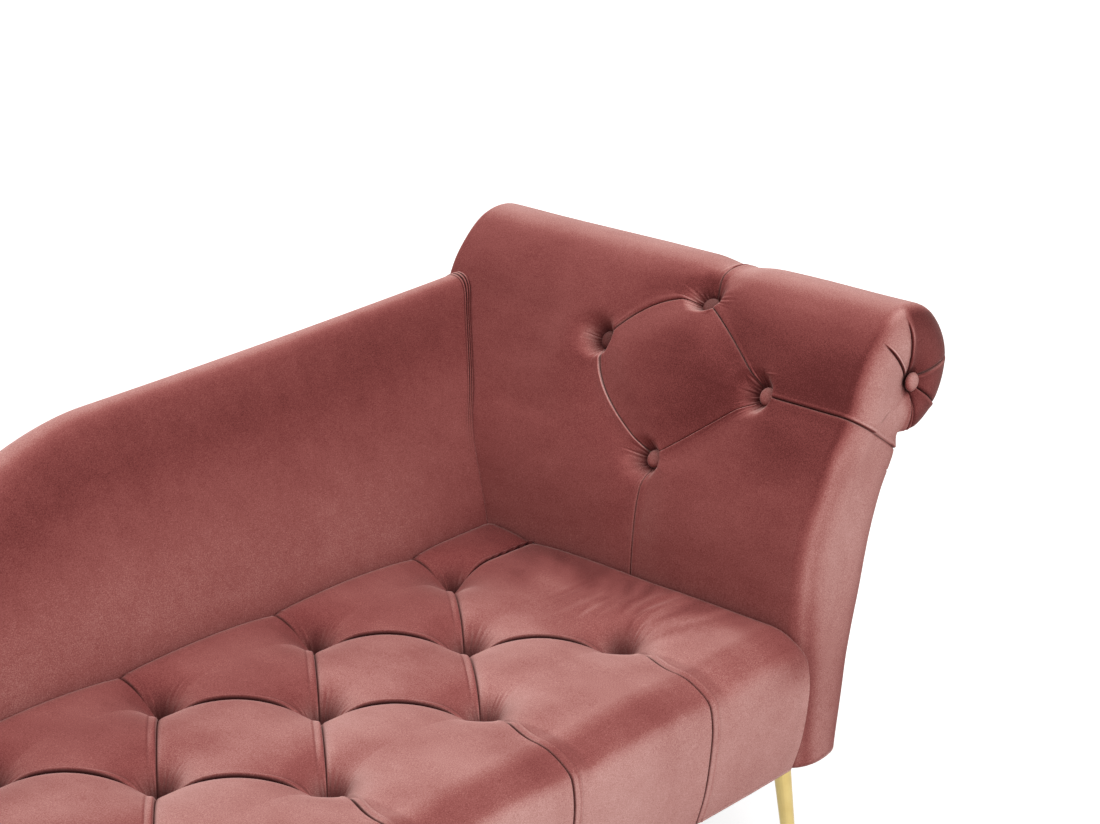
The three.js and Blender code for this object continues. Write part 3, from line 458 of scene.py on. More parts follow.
# Seat
PITCH, ROW_PITCH = 235.0, 142.4
TUFT_X = [-152.0 - PITCH * k for k in range(5)]
ROWS = [-80.0, -222.4, -364.8]
TUFTS = ([(x, ROWS[0]) for x in TUFT_X] + [(x - PITCH / 2, ROWS[1]) for x in TUFT_X[:-1]]
         + [(x, ROWS[2]) for x in TUFT_X])
CROWN, ARCH_SHARE, PILLOW_POWER = 34.0, 0.72, 0.45
# Direction across the arc folds, towards the back
BEHIND = np.array([ROW_PITCH, PITCH / 2]) / math.hypot(PITCH / 2, ROW_PITCH)
# How far the front pleats drift aside up to the edge, and how far the rear row's fold bends towards the arm
PLEAT_DRIFT, ROW_BOW = -33.0, -9.0
# A tuft's pit: depths and widths of its bowl, of its neck and of the dip in front of it. The pit and the
# painted shade of its hole lie a little behind the tuft.
BOWL, NECK, DIP = (21, 27), (27, 13), (5, 24)
PIT_BEHIND, HOLE_BEHIND = 7 * BEHIND, 13 * BEHIND
# The border's profile, as shares of the nose's reach and of the drop to the frame's underside
NOSE, NOSE_DROP = 55.0, 170
NOSE_SHARES = [(0, 0), (0.27, 0.012), (0.53, 0.044), (0.76, 0.085), (0.93, 0.142), (1, 0.29), (0.96, 0.475),
               (0.82, 0.743), (0.58, 1)]
BORDER_RINGS, CORNER_STEPS = 30, 16
# The rounded edges beside the arm and the back
EDGE_ROLL, EDGE_DROP, SEAT_GAP = 17.0, 15, 0.6
BACK_EDGE_LINES = {0.0, 0.5, 1.2, 2.2, 3.6, 5.4, 7.8, 10.6, 14, 18, 22}
# The seat's painted light and shade: tone by the way the surface tips towards the back
SEAT_TIPS = [-1, -0.94, -0.8, -0.6, -0.34, -0.12, 0.05, 0.3]
SEAT_TONES = [0.78, 0.72, 0.49, 0.35, 0.35, 0.51, 0.68, 0.78]
# Painted shade that sets in towards the back: how much, and between which y
BACK_SHADES = ((0.12, -320, -190), (0.3, -205, -95), (0.12, -60, -5))


def blend(one, two):
    return one + two - one * two


def seat_pillow(x, y):
    """Height of the pillows between the folds, by the same lattice as the tufts."""
    out_x = np.maximum(np.maximum(TUFT_X[-1] - x, x - TUFT_X[0]), 0)
    out_y = np.maximum(np.maximum(ROWS[2] - y, y - ROWS[0]), 0)
    along_x = (x - TUFT_X[0]) / PITCH
    along_y = (y - ROWS[0]) / (2 * ROW_PITCH)
    one = np.abs(np.sin(np.pi * (along_x + along_y)))
    two = np.abs(np.sin(np.pi * (along_x - along_y)))
    side_x, side_y = np.abs(np.sin(np.pi * along_x)), np.abs(np.sin(np.pi * along_y))
    in_x, in_y = out_x <= 0, out_y <= 0
    where = [in_x & in_y, in_x, in_y]
    rise_x, rise_y = rise(3.4 * out_x / PITCH), rise(2 * out_y / ROW_PITCH)
    rise_arm = smooth(ROWS[1] - y, 20, 110) * (x > TUFT_X[0]) * rise_x
    one = np.select(where, [one, side_x, blend(side_y, rise_arm)], rise_x)
    two = np.select(where, [two, blend(side_x, rise_y), blend(side_y, rise_x)], blend(rise_y, rise_arm))
    return CROWN * ((1 - ARCH_SHARE) * (one * two) ** PILLOW_POWER + ARCH_SHARE * blend(one, two))


def seat_painted_light(points, normals):
    """Painted light and shade of the seat: dark where it tips towards the front edge, light where it tips
    back or faces out.
    """
    x, y, z = points.T
    tip = normals[:, 1] + 0.11 * wander(x, y, 23, 130, 3) * smooth(z, 300, 340)
    tone = np.interp(tip, SEAT_TIPS, SEAT_TONES)
    tone += 0.15 * smooth(x, -270, -150) * np.interp(tip, [-0.95, -0.75, -0.3, -0.12], [0, 1, 1, 0])
    tone += 0.12 * np.clip(-normals[:, 0], -1, 1) + 0.1 * wander(x, y, 31, 210)
    # painted shade towards the back and beside the arm
    top = smooth(z, 330, 380)
    tone *= 1 - top * sum(shade * smooth(y, low, high) for shade, low, high in BACK_SHADES)
    tone *= 1 - top * (0.42 * smooth(x, -235, -70) * smooth(y, -520, -220) + 0.44 * smooth(x, -90, -15))
    # painted light and shade in soft streaks that fan out towards the arm
    bend = np.arctan2(y - ROWS[2], x - TUFT_X[0] + 30)
    streaks = wander(bend * 160, np.hypot(x - TUFT_X[0], y - ROWS[2]) * 0.3, 8, 46)
    tone += top * 0.28 * streaks * smooth(x, -150, -100) * smooth(y, -480, -400) * (1 - smooth(y, -160, -110))
    foot = smooth(-normals[:, 0], 0.6, 0.95)
    return tone * (1 - foot) + 0.5 * foot


def seat_rows():
    """Rows of the seat's top, from the back to where the front edge starts to turn down."""
    places = set(BACK_EDGE_LINES)
    for row in ROWS:
        places |= lines_beside(-row, 35)
    last = SEAT_DEPTH - NOSE
    return -fill_in([v for v in sorted(places) if 0 <= v < last - 4] + [last], 6.0)


def seat_fold(table, arc, steep, on_foot_side, arc_d, d):
    """Values beside a fold that is an arc, then steep, then a pleat, row by row."""
    value = np.where(arc, beside_fold(table, "arc", not on_foot_side, arc_d), 0)
    value = np.where(steep, beside_fold(table, "steep", on_foot_side, d), value)
    return np.where(arc | steep, value, beside_fold(table, "pleat", not on_foot_side, d))


def seat_columns(y, drift):
    """The grid's x, and height and painted shade of the folds that run from row to row."""
    middle = PITCH / 2 * np.maximum(0, 1 - np.abs(y - ROWS[1]) / ROW_PITCH)
    bounds = [("edge", np.full_like(y, -SEAT_GAP))]
    for k, x in enumerate(TUFT_X):
        if k:
            bounds.append(("right", x + middle + drift))
        if k < len(TUFT_X) - 1:
            bounds.append(("left", x - middle + drift))
    bounds.append(("edge", np.full_like(y, -SEAT_LENGTH + NOSE)))
    upper = ((y > ROWS[1]) & (y < ROWS[0]))[:, None]
    lower = ((y <= ROWS[1]) & (y > ROWS[2]))[:, None]
    slant = np.where(upper | lower, math.cos(math.atan(PITCH / 2 / ROW_PITCH)), 1.0)
    cells = []
    for (kind_a, a), (kind_b, b) in zip(bounds, bounds[1:]):
        line, gone_a, gone_b = cell_lines(a, b)
        lift, dark = np.zeros_like(line), np.zeros_like(line)
        for kind, gone, on_foot_side in ((kind_a, gone_a, True), (kind_b, gone_b, False)):
            if kind == "edge":
                continue
            arc, steep, first_row = (lower, upper, ROWS[1]) if kind == "left" else (upper, lower, ROWS[0])
            d = gone * slant
            wider = 1 + 2.6 * smooth((first_row - y) / ROW_PITCH, 0.5, 0.97)[:, None]
            arc_d = d if on_foot_side else np.where(d > 2.5, 2.5 + (d - 2.5) / wider, d)
            lift += seat_fold(HEIGHT, arc, steep, on_foot_side, arc_d, d)
            dark = stronger(dark, seat_fold(PAINTED_FOLD_SHADING, arc, steep, on_foot_side, arc_d, d))
        cells.append((line, lift, dark))
    return join_cells(cells)


def seat_tufts(x, y, drift):
    """Pits, creases and painted shade in the holes of all tufts, and the distance from the nearest one."""
    near = np.full_like(x, 1e9)
    pit, creases, hole_shade = np.zeros((3, *x.shape))
    for at, (tx, ty) in enumerate(TUFTS):
        # the pillows in front keep their edge, as a lip: the hole drops straight down behind it
        dx, dy = x - tx, y - ty
        across = dx * BEHIND[0] + dy * BEHIND[1]
        if ty == ROWS[0]:
            across = np.minimum(dx, dy if tx == TUFT_X[0] else across)
        if ty == ROWS[2]:
            across = np.maximum(across, np.where(dy < 0, dx - drift[:, None], -FAR))
        lip = smooth(across, -2.2, 1.2)
        away = np.hypot(dx, dy)
        cx, cy = (tx, ty) + PIT_BEHIND
        inside = np.hypot(x - cx, y - cy)
        angle = np.arctan2(y - cy, x - cx)
        creases += pit_creases(angle, inside, 60, 40 + at, 21, 9, 46, 1.9) * lip
        if (tx, ty) == (TUFT_X[0], ROWS[2]):
            # long soft wrinkles fan out from this tuft towards the arm
            bend = angle + 0.0035 * inside
            fan = radial_creases(bend, inside, 77, 22, 16, 190, 1.7, 4.2)
            fan += radial_creases(bend, inside, 15, 47, 14, 110, 0.6)
            creases += fan * lip * smooth(dx, 0, 20) * smooth(angle, 0.0, 0.25)
        deep = BOWL[0] * bell(inside, BOWL[1]) + NECK[0] * bell(inside, NECK[1])
        pit = np.maximum(pit, deep * lip + DIP[0] * bell(away, DIP[1]) * (1 - lip))
        far = np.hypot(dx - HOLE_BEHIND[0], dy - HOLE_BEHIND[1])
        # painted shade in the hole behind the tuft
        hole_shade = np.maximum(hole_shade, 0.93 * bell(far, 17) * lip)
        near = np.minimum(near, away)
    return near, pit, creases, hole_shade


def seat_border(top, fold, gap):
    """Rings from the top's edge down to the frame's underside, and their painted shade."""
    profile = spline(NOSE_SHARES, 12)
    cut = lengths(profile * [NOSE, NOSE_DROP])
    profile = place_at(np.linspace(0, cut[-1], BORDER_RINGS), cut, profile)
    corner = np.linspace(0, np.pi / 2, CORNER_STEPS)[1:-1]
    rim = np.concatenate([top[-1], np.repeat(top[-1, -1][None], len(corner), 0), top[::-1, -1]])
    toward = np.concatenate([
        np.tile([0.0, -1.0], (top.shape[1], 1)), np.stack([-np.sin(corner), -np.cos(corner)], -1),
        np.tile([-1.0, 0.0], (top.shape[0], 1)),
    ])
    edge_fold, edge_shade = (np.concatenate([v[-1], np.zeros(len(corner)), v[::-1, -1]]) for v in (fold, gap))
    along = lengths(rim[:, :2])
    slope = np.gradient(profile * [NOSE, -NOSE_DROP], axis=0)
    slope /= np.linalg.norm(slope, axis=1)[:, None]
    rings = [rim]
    for ring, ((out, drop), (run, fall)) in enumerate(zip(profile[1:], slope[1:])):
        share = smooth(np.array(ring / len(profile)), 0.0, 0.25)
        bulge = 2.2 * wander(along, np.full_like(along, drop * 160), 9, 300) * share
        push = edge_fold * (1 - share) + edge_fold * share * 0.9 + bulge
        point = rim.copy()
        point[:, :2] += toward * (NOSE * out + (push * -fall * share)[:, None])
        point[:, 2] = rim[:, 2] + (FLOOR_GAP - rim[:, 2]) * drop
        point[:, 2] += push * run * share * (1 - drop)
        rings.append(point)
    from_arm, from_back = smooth(-top[-1, :, 0], 10, 28), smooth(-top[::-1, 0, 1] - SEAT_GAP, 10, 28)
    ends = np.concatenate([from_arm, np.ones(len(corner)), from_back])
    dark = np.repeat((edge_shade * ends)[None], len(rings), 0)
    dark[0] = edge_shade
    return np.stack(rings), dark


def seat_cover():
    rows = seat_rows()
    drift = PLEAT_DRIFT * smooth(ROWS[2] - rows, 0, 112)
    x, fold, gap = seat_columns(rows, drift)
    y = np.repeat(rows[:, None], x.shape[1], 1)
    # the folds that run along a row: from the first tuft to the arm, and from the last ones to the foot end
    row_folds = ((ROWS[0], TUFT_X[0], 0.0, "arc"), (ROWS[0], TUFT_X[-1], -SEAT_LENGTH, "pleat"),
                 (ROWS[2], TUFT_X[-1], -SEAT_LENGTH, "pleat"))
    for row, start, end, kind in row_folds:
        share = part_way(x, start, end)
        d = y - row - (ROW_BOW * share ** 1.5 if end > start else 0.0)
        fold += across_fold(HEIGHT, kind, d) * smooth(share, 0.0, 0.06)
        gap = stronger(gap, across_fold(PAINTED_FOLD_SHADING, "arc", d) * smooth(share, 0.02, 0.1))
    near, pit, creases, hole_shade = seat_tufts(x, y, drift)
    calm = smooth(near, 1, 9)
    fold *= calm
    gap = stronger(gap * calm, hole_shade)
    z = LIP + seat_pillow(x, y) + fold + creases - pit + 1.3 * wander(x, y, 3, 260)
    # beside the arm and the back the edge rolls down, with painted shade where the seat meets them
    for away in (-SEAT_GAP - x, -y):
        gap = np.maximum(gap, 0.8 * bell(away, 11))
        z -= EDGE_DROP * round_drop(away, EDGE_ROLL)
    top = np.stack([x, y - SEAT_GAP, z], -1)
    border, border_dark = seat_border(top, fold, gap)
    corner = [[-SEAT_GAP, -SEAT_GAP, FLOOR_GAP]]
    shell = Shell()
    shell.grid(top, groove=gap)
    shell.grid(border, groove=border_dark)
    shell.face(np.concatenate([top[:, 0], border[1:, 0], corner]), flip=True)
    shell.face(np.concatenate([top[0], border[1:, -1], corner]))
    shell.face(np.concatenate([border[-1], corner]))
    finish(shell.build("seat_cover", velvet, seat_painted_light), "velvet", "seat_cushion", fill=0.8)


# Arm
# The scroll's outline, as shares of the arm's reach and height, with the roll as an arc between
INNER = [(0, 0), (0, 0.167), (0, 0.332), (0.0175, 0.446), (0.0386, 0.514), (0.0877, 0.583), (0.151, 0.64),
         (0.249, 0.741), (0.35, 0.84), (0.47, 0.93)]
OUTER = [(0.653, 0.681), (0.554, 0.585), (0.491, 0.493), (0.432, 0.367), (0.372, 0.24), (0.34, 0.133),
         (0.302, 0)]
SPINE = [(0.17, 0.3), (0.335, 0.62), (0.45, 0.748)]
ROLL_RADIUS = 80.0
ROLL_X, ROLL_Z = 0.7193 * ARM_REACH, FLOOR_GAP + ARM_HEIGHT - ROLL_RADIUS
ROSETTE_Z = ROLL_Z - 0.14 * ROLL_RADIUS
roll_turns = np.radians(np.linspace(112, -105, 8))
roll_line = [(ROLL_X + ROLL_RADIUS * math.cos(t), ROLL_Z + ROLL_RADIUS * math.sin(t)) for t in roll_turns]


def arm_places(shares):
    return [(a * ARM_REACH, FLOOR_GAP + b * ARM_HEIGHT) for a, b in shares]


arm_line = spline(arm_places(INNER) + roll_line + arm_places(OUTER), 96)
arm_gone = lengths(arm_line)
ARM_LENGTH = arm_gone[-1]
top_at = np.argmax(arm_line[:, 1])
TOP = arm_gone[top_at]


def arm_outline(gone):
    """Place on the arm's outline after that length, and its outward direction."""
    step = 1.5
    ahead, behind = place_at(gone + step, arm_gone, arm_line), place_at(gone - step, arm_gone, arm_line)
    dx, dz = (ahead - behind).T
    size = np.maximum(np.hypot(dx, dz), 1e-9)
    return place_at(gone, arm_gone, arm_line), np.stack([-dz / size, dx / size], -1)


def inner_gone(share):
    """Length along the outline where the inner face reaches that share of the arm's height."""
    return arm_gone[np.argmax(arm_line[:, 1] >= FLOOR_GAP + share * ARM_HEIGHT)]


def outline_gone(point):
    """Length along the outline at its place nearest to the point."""
    return arm_gone[np.argmin(np.hypot(*(arm_line - point).T))]


# Tufts: shares of the arm's height and length, direction of the pit's rim along y and along the outline, and
# the pit's depth
ARM_PITS = {
    "low": ((0.614, 0.3965), (-0.8, 0.6), 23),
    "front": ((0.798, 0.2035), (-1, 0), 22),
    "high": ((0.945, 0.3965), (-0.6, -0.8), 24),
    "rear": ((0.8215, 0.5845), (-1, 0), 24),
}
# Depth and width of the valleys along the folds, depth of the outer face's seam, and height of the crown
VALLEY_DEEP, VALLEY_WIDE, SEAM_DEEP, ARM_CROWN = 4.4, 24, 2.2, 4.5
# Radius of a pit's flat floor and of its edge on the steep side, and how much wider it runs out opposite
PIT_FLOOR, PIT_STEEP, PIT_RUN_OUT = 5, 17.0, 34.0
ARM_SPAN = BACK_DEPTH - ARM_FRONT
ARM_TUFTS = {name: (inner_gone(share), ARM_FRONT + along * ARM_SPAN)
             for name, ((share, along), _, _) in ARM_PITS.items()}
(LOW, MIDDLE_Y), (FRONT, FRONT_Y), (HIGH, _), (REAR, REAR_Y) = ARM_TUFTS.values()
# TUCK is where the roll meets the outer face. The other lengths are where the front tuft's fold ends on the
# outer face, where the seam runs, and where the rosette's pleats cross the outline.
TUCK = outline_gone(roll_line[-1])
CROSS_GONE, SEAM_GONE = TUCK + 18.0, TUCK + 46.0
PLEAT_TURNS = np.radians([132, 97, 10, -38])
# The pleats cross the outline within this distance from the roll's axis.
ROLL_AREA = 106


def pleat_gone(turn):
    """Length along the outline where a pleat that leaves the rosette at that angle crosses it."""
    x, z = arm_line[:, 0] - ROLL_X, arm_line[:, 1] - ROSETTE_Z
    off = np.abs((np.arctan2(z, x) - turn + np.pi) % (2 * np.pi) - np.pi)
    return float(arm_gone[np.argmin(off + 9 * (np.hypot(z, x) > ROLL_AREA))])


PLEAT_GONE = [pleat_gone(turn) for turn in PLEAT_TURNS] + [TUCK - 21.0, TUCK - 30.0]
# The rounded edges of the arm's two ends, the turns at which their rings lie, and the rings farther in
END_DEEP, END_WIDE = 24.0, 46.0
REAR_ROUND, REAR_WIDE = 7.0, 9.0
END_TURNS = np.radians([*range(8, 88, 8), 86, 90])
END_SHARES = (0.12, 0.25, 0.4, 0.56, 0.72, 0.84, 0.92, 1.0)
# The arm's painted light and shade: tone by how far the surface faces out and up, by its tip to the rear, and
# by height in front
OUT_TONES = [-0.75, -0.5, -0.2, 0.1], [0, 0.1, 0.38, 0.52]
TIP_TONES = [-1, -0.95, -0.8, -0.58, -0.2, 0, 0.2, 0.5], [0.74, 0.52, 0.25, 0, -0.05, 0, 0.1, 0.2]
FRONT_SHADES = [245, 306, 404, 500, 586, 640], [0.46, 0.46, 0.4, 0.28, 0.2, 0]


def arm_painted_light(points, normals):
    """Painted light and shade of the arm: dark on its inner face, lighter over the roll and on its front."""
    x, y, z = points.T
    away, tip, up = normals.T
    tone = 0.26 + np.interp(away, *OUT_TONES) * smooth(up, 0.4, 0.8)
    tone -= 0.21 * smooth(-y, 90, 330) * smooth(z, 500, 680) * (1 - smooth(up, 0.5, 0.85))
    tone += 0.08 * (1 - smooth(z, 430, 560))
    tone += np.interp(tip, *TIP_TONES)
    tone -= np.interp(z, *FRONT_SHADES) * smooth(-tip, 0.8, 1)
    before_front = 0.15 * smooth(z, 520, 620) - 0.13 * (1 - smooth(z, 380, 480))
    tone += before_front * np.interp(tip, [-1, -0.93, -0.7, -0.5], [0, 1, 1, 0])
    # painted shade on the roll's end beyond the rosette
    tone -= 0.58 * smooth(x, ROLL_X - 14, ROLL_X + 2) * smooth(-tip, 0.3, 0.8)
    return tone + 0.05 * wander(y, z, 37, 190)


def arm_rows():
    """The rows of the arm's grid, as lengths along its outline."""
    tufts = (LOW, FRONT, HIGH, REAR)
    places = {0.0, TUCK, ARM_LENGTH, TOP, CROSS_GONE}
    for at in PLEAT_GONE + [CROSS_GONE, SEAM_GONE]:
        places |= {round(at + d, 3) for d in (-3.4, -1.8, -0.8, 0.0, 0.8, 1.8, 3.4)}
    for at in tufts:
        places |= lines_beside(at, 32)
    keep = [0.0]
    for v in sorted(places)[1:]:
        if v - keep[-1] > 0.55 or v in (*tufts, TUCK, ARM_LENGTH, CROSS_GONE):
            keep.append(v)
    return fill_in(keep, 6.5)


def front_depth(gone):
    """How far the arm's front rounds back: less beyond the roll's top."""
    return END_DEEP * (1 - 0.45 * smooth(gone, TOP + 60, TOP + 130))


def diamond_lines(gone):
    """Where the diamond's front and rear folds cross each row."""
    front = np.where(gone < FRONT, 1 - part_way(gone, LOW, FRONT) ** 0.97,
                     1 - (1 - part_way(gone, FRONT, HIGH)) ** 0.85)
    rear = np.where(gone < REAR, (1 - part_way(gone, LOW, REAR)) ** 2.2,
                    1 - (1 - part_way(gone, REAR, HIGH)) ** 0.47)
    return FRONT_Y + (MIDDLE_Y - FRONT_Y) * front, REAR_Y + (MIDDLE_Y - REAR_Y) * rear


def arm_columns(gone, line_front, line_rear, fold_end):
    """The grid's y, and height and painted shade of the diamond's folds."""
    start, end = ARM_FRONT + front_depth(gone), np.full_like(gone, BACK_DEPTH - REAR_ROUND)
    cells = []
    strength = (smooth(gone, 60, 160) * (1 - smooth(gone, fold_end - 60, fold_end)))[:, None]
    # the bands lie outside the diamond, and run out wider towards the high and the low tuft
    spread = (1 + 3.0 * bell(gone - HIGH, 34) + 1.6 * bell(gone - LOW, 40) * (gone > LOW))[:, None]
    plain = (0.55 + 0.45 * (gone > LOW))[:, None]
    for at, (a, b) in enumerate(((start, line_front), (line_front, line_rear), (line_rear, end))):
        line, gone_a, gone_b = cell_lines(a, b)
        lift, dark = np.zeros_like(line), np.zeros_like(line)
        for side_gone, on_band, has_line in ((gone_a, at == 2, at > 0), (gone_b, at == 0, at < 2)):
            if not has_line:
                continue
            d = side_gone * 0.8
            if on_band:
                d = np.where(d > 1.5, 1.5 + (d - 1.5) / spread, d)
            lift += beside_fold(HEIGHT, "arm", on_band, d) * plain
            dark = stronger(dark, beside_fold(PAINTED_FOLD_SHADING, "arm", on_band, d) * plain)
        cells.append((line, lift * strength, dark * strength))
    return join_cells(cells)


def off_line(g, y, start, end):
    """Distance from a straight line between two places of the grid."""
    run = np.array([end[0] - start[0], end[1] - start[1]], float)
    share = np.clip(((g - start[0]) * run[0] + (y - start[1]) * run[1]) / (run @ run), 0, 1)
    return np.hypot(g - start[0] - share * run[0], y - start[1] - share * run[1])


def arm_pits(g, y):
    """Pits, creases and painted shade in the holes of the four tufts, and the distance from the nearest one.
    """
    near = np.full_like(y, 1e9)
    pit, creases, hole_shade = np.zeros((3, *y.shape))
    for at, (name, (_, rim, deep)) in enumerate(ARM_PITS.items()):
        # the pit is steep below the rim towards the front, and runs out softly on the other side
        tg, ty = ARM_TUFTS[name]
        far = np.hypot(g - tg, y - ty)
        toward = ((y - ty) * rim[0] + (g - tg) * rim[1]) / np.maximum(far, 1e-6)
        edge = PIT_STEEP + PIT_RUN_OUT * ((1 - toward) / 2) ** 1.3
        pit = np.maximum(pit, deep * (1 - smooth(far, PIT_FLOOR, edge)) ** 1.15)
        hole_shade = np.maximum(hole_shade, 0.85 * (1 - smooth(far, 9, 13 + 24 * (1 - toward) / 2)))
        around = pit_creases(np.arctan2(g - tg, y - ty), far, 70, 70 + at, 31, 12, 52, 1.8)
        creases += around * smooth(-toward, -0.85, 0.0)
        near = np.minimum(near, far)
    return near, pit, creases, hole_shade


def arm_end(gone, edge, edge_dark, plane, direction, deep, wide):
    """Rings from an edge inwards to the scroll's spine. direction is -1 at the front and 1 at the rear."""
    foot = ((arm_line[0, 0] + arm_line[-1, 0]) / 2, FLOOR_GAP)
    centre = np.array([ROLL_X, ROSETTE_Z])
    fine = 40
    spine = spline([foot, *arm_places(SPINE), centre], fine)
    spine_gone = lengths(spine)
    crossing = spine_gone[len(SPINE) * fine] / spine_gone[-1]
    join_in, join_out = inner_gone(0.87), TUCK - 6
    share = np.interp(gone, [0, FRONT, join_in, join_out, CROSS_GONE, ARM_LENGTH],
                      [0, crossing, 1, 1, crossing, 0])
    hub = place_at(share * spine_gone[-1], spine_gone, spine)
    base = edge[:, [0, 2]]
    span = np.linalg.norm(hub - base, axis=1)
    reach = np.minimum(wide, span)
    inward = (hub - base) / np.maximum(span, 1e-9)[:, None]
    in_roll = smooth(gone, join_in - 40, join_in) * (1 - smooth(gone, join_out, join_out + 25))
    # the crease that runs on from the front tuft's fold, across the arm's front
    cross = (np.where(np.abs(gone - FRONT) < 40, gone - FRONT, FAR)
             + np.where(np.abs(gone - CROSS_GONE) < 12, CROSS_GONE - gone - FAR, 0))
    spreading = np.where(gone > TUCK, np.where(gone < CROSS_GONE, 3.2, 1.2), 1.4)
    offsets = [(reach * (1 - math.cos(t)), math.sin(t)) for t in END_TURNS]
    offsets += [(reach + (span - reach) * part, 1.0) for part in END_SHARES]
    rings, darks = [edge], [edge_dark]
    for offset, flat in offsets:
        place = base + inward * offset[:, None]
        here = np.linalg.norm(place - centre, axis=1)
        fan, dark = np.zeros_like(here), np.zeros_like(here)
        for pleat in PLEAT_GONE:
            across = (gone - pleat) * np.clip(here / 80, 0.12, 1)
            fan += across_fold(HEIGHT, "arm", across)
            dark = stronger(dark, across_fold(PAINTED_FOLD_SHADING, "arm", across))
        fade = smooth(here, 10, 18) * (1 - smooth(here, 66, 84)) * in_roll
        dish = (7 * bell(here, 30) + 6 * bell(here, 15)) * in_roll
        push = fan * fade - dish + 1.2 * wander(place[:, 0], place[:, 1], 21, 120) * flat
        # painted shade in the pleats and round the rosette's centre
        dark = stronger(dark * fade, 0.8 * (1 - smooth(here, 11, 18)) * in_roll)
        if direction < 0:
            away = cross * (1 + (spreading - 1) * offset / np.maximum(span, 1))
            push += across_fold(HEIGHT, "arm", away)
            # painted shade along the cross crease
            dark = stronger(dark, 0.75 * across_fold(PAINTED_FOLD_SHADING, "arm", away))
        depth = plane - direction * deep * (1 - flat) + direction * push
        ring = np.stack([place[:, 0], depth, place[:, 1]], -1)
        ring[[0, -1], 2] = FLOOR_GAP
        rings.append(ring)
        darks.append(dark)
    return np.stack(rings, 1), np.stack(darks, 1)


def arm_cover():
    gone = arm_rows()
    fold_end = TOP + 1.15 * ROLL_RADIUS
    line_front, line_rear = diamond_lines(gone)
    y, fold, gap = arm_columns(gone, line_front, line_rear, fold_end)
    g = np.repeat(gone[:, None], y.shape[1], 1)
    # the fold from the front tuft to the arm's front
    forward = smooth(part_way(y, FRONT_Y, ARM_FRONT), 0, 0.1)
    fold += across_fold(HEIGHT, "arm", g - FRONT) * forward
    # painted shade along this fold
    gap = stronger(gap, 0.75 * forward * across_fold(PAINTED_FOLD_SHADING, "arm", g - FRONT))
    # valleys along the folds, and pillows between them
    lines = [((LOW, MIDDLE_Y), (120.0, MIDDLE_Y)), ((HIGH, MIDDLE_Y), (fold_end, MIDDLE_Y)),
             ((FRONT, FRONT_Y), (FRONT, ARM_FRONT))]
    on_diamond = (gone >= LOW) & (gone <= HIGH)
    for line in (line_front, line_rear):
        path = np.stack([gone, line], -1)[on_diamond][::3]
        lines += list(zip(path, path[1:]))
    away = np.min([off_line(g, y, start, end) for start, end in lines], axis=0)
    valley = VALLEY_DEEP * np.exp(-((away / VALLEY_WIDE) ** 1.3))
    valley *= 1 - 0.8 * smooth(g, HIGH + 15, HIGH + 60)
    near, pit, creases, hole_shade = arm_pits(g, y)
    # painted shade in the holes
    gap = stronger(gap * smooth(near, 10, 20), hole_shade)
    gap = np.maximum(gap, 0.85 * bell(g - SEAM_GONE, 1.2))
    inner = 1 - smooth(g, TOP + 60, TOP + 140)
    lift = ((fold - valley) * smooth(near, 9, 20) + creases) * inner - pit
    free = 1 - smooth(y, -55, -8) * (1 - smooth(g, 470, 520))
    lift += 1.4 * wander(g, y, 5, 240) * smooth(g, 150, 260) * (1 - smooth(g, TUCK - 30, TUCK)) * free
    lift -= SEAM_DEEP * bell(g - SEAM_GONE, 1.0)
    lift += ARM_CROWN * inner * smooth(g, 170, 260) * smooth(away, 6, 55) * free
    spot, out = arm_outline(gone)
    skin = np.stack([spot[:, :1] + out[:, :1] * lift, y, spot[:, 1:] + out[:, 1:] * lift], -1)
    skin[[0, -1], :, 2] = FLOOR_GAP
    front, front_dark = arm_end(gone, skin[:, 0], gap[:, 0], ARM_FRONT, -1, front_depth(gone), END_WIDE)
    rear, rear_dark = arm_end(gone, skin[:, -1], gap[:, -1], BACK_DEPTH, 1, REAR_ROUND, REAR_WIDE)
    shell = Shell()
    shell.grid(skin, flip=True, groove=gap)
    shell.grid(front, groove=front_dark)
    shell.grid(rear, flip=True, groove=rear_dark)
    shell.face(np.concatenate([front[0, ::-1], skin[0, 1:], rear[0, 1:], rear[-1, ::-1][1:],
                               skin[-1, ::-1][1:], front[-1, 1:-1]]))
    piece = shell.build("arm_cover", velvet, arm_painted_light)
    finish(piece, "velvet", "arm_cushion", "arm_outer_panel", fill=0.85)


# Back
# Height of the back's top over the seat's lip beside the arm, and its share at the foot end. Between them the
# top falls a little at first, over that share of the length, and then sweeps down.
CREST_RISE, CREST_LOW = 315, 0.15
CREST_FALL, FALL_LENGTH = 0.153, 0.776
# Where the face starts to lean back, and how far it does over the next stretch of height
LEAN_FROM, LEAN_STRETCH, LEAN_REACH, LEAN_POWER = 390, 257, 112, 1.35
# Height of the rounded top, radius of the foot end, and the stretch of it that follows the seat's nose
CAP_HEIGHT, FOOT_ROUND, NOSE_REACH = 52.0, 24, 84
# Heights of the face's lowest lines, and how far the rings are planned into the arm
BOX_LINE, SEAT_LINE, ARM_OVERLAP = 300, 372, 80
BACK_RINGS, FACE_LINES, CAP_LINES = 150, 34, 16
# The rear face, from the cap down: where its lines lie, and how deep its seam is
REAR_SHARES = [0.02, 0.04, 0.05, 0.054, 0.058, 0.068, 0.1, 0.2, 0.35, 0.5, 0.65, 0.8, 0.9, 1]
REAR_SEAM = [0, 0, 0.6, 2.2, 0.6] + [0] * 9
SEAM_LINE = 3
# Gathers beside the arm: width of one fold, and the stretch over which they run out
GATHER, GATHER_END = 4.3, (13.5, 15.5)
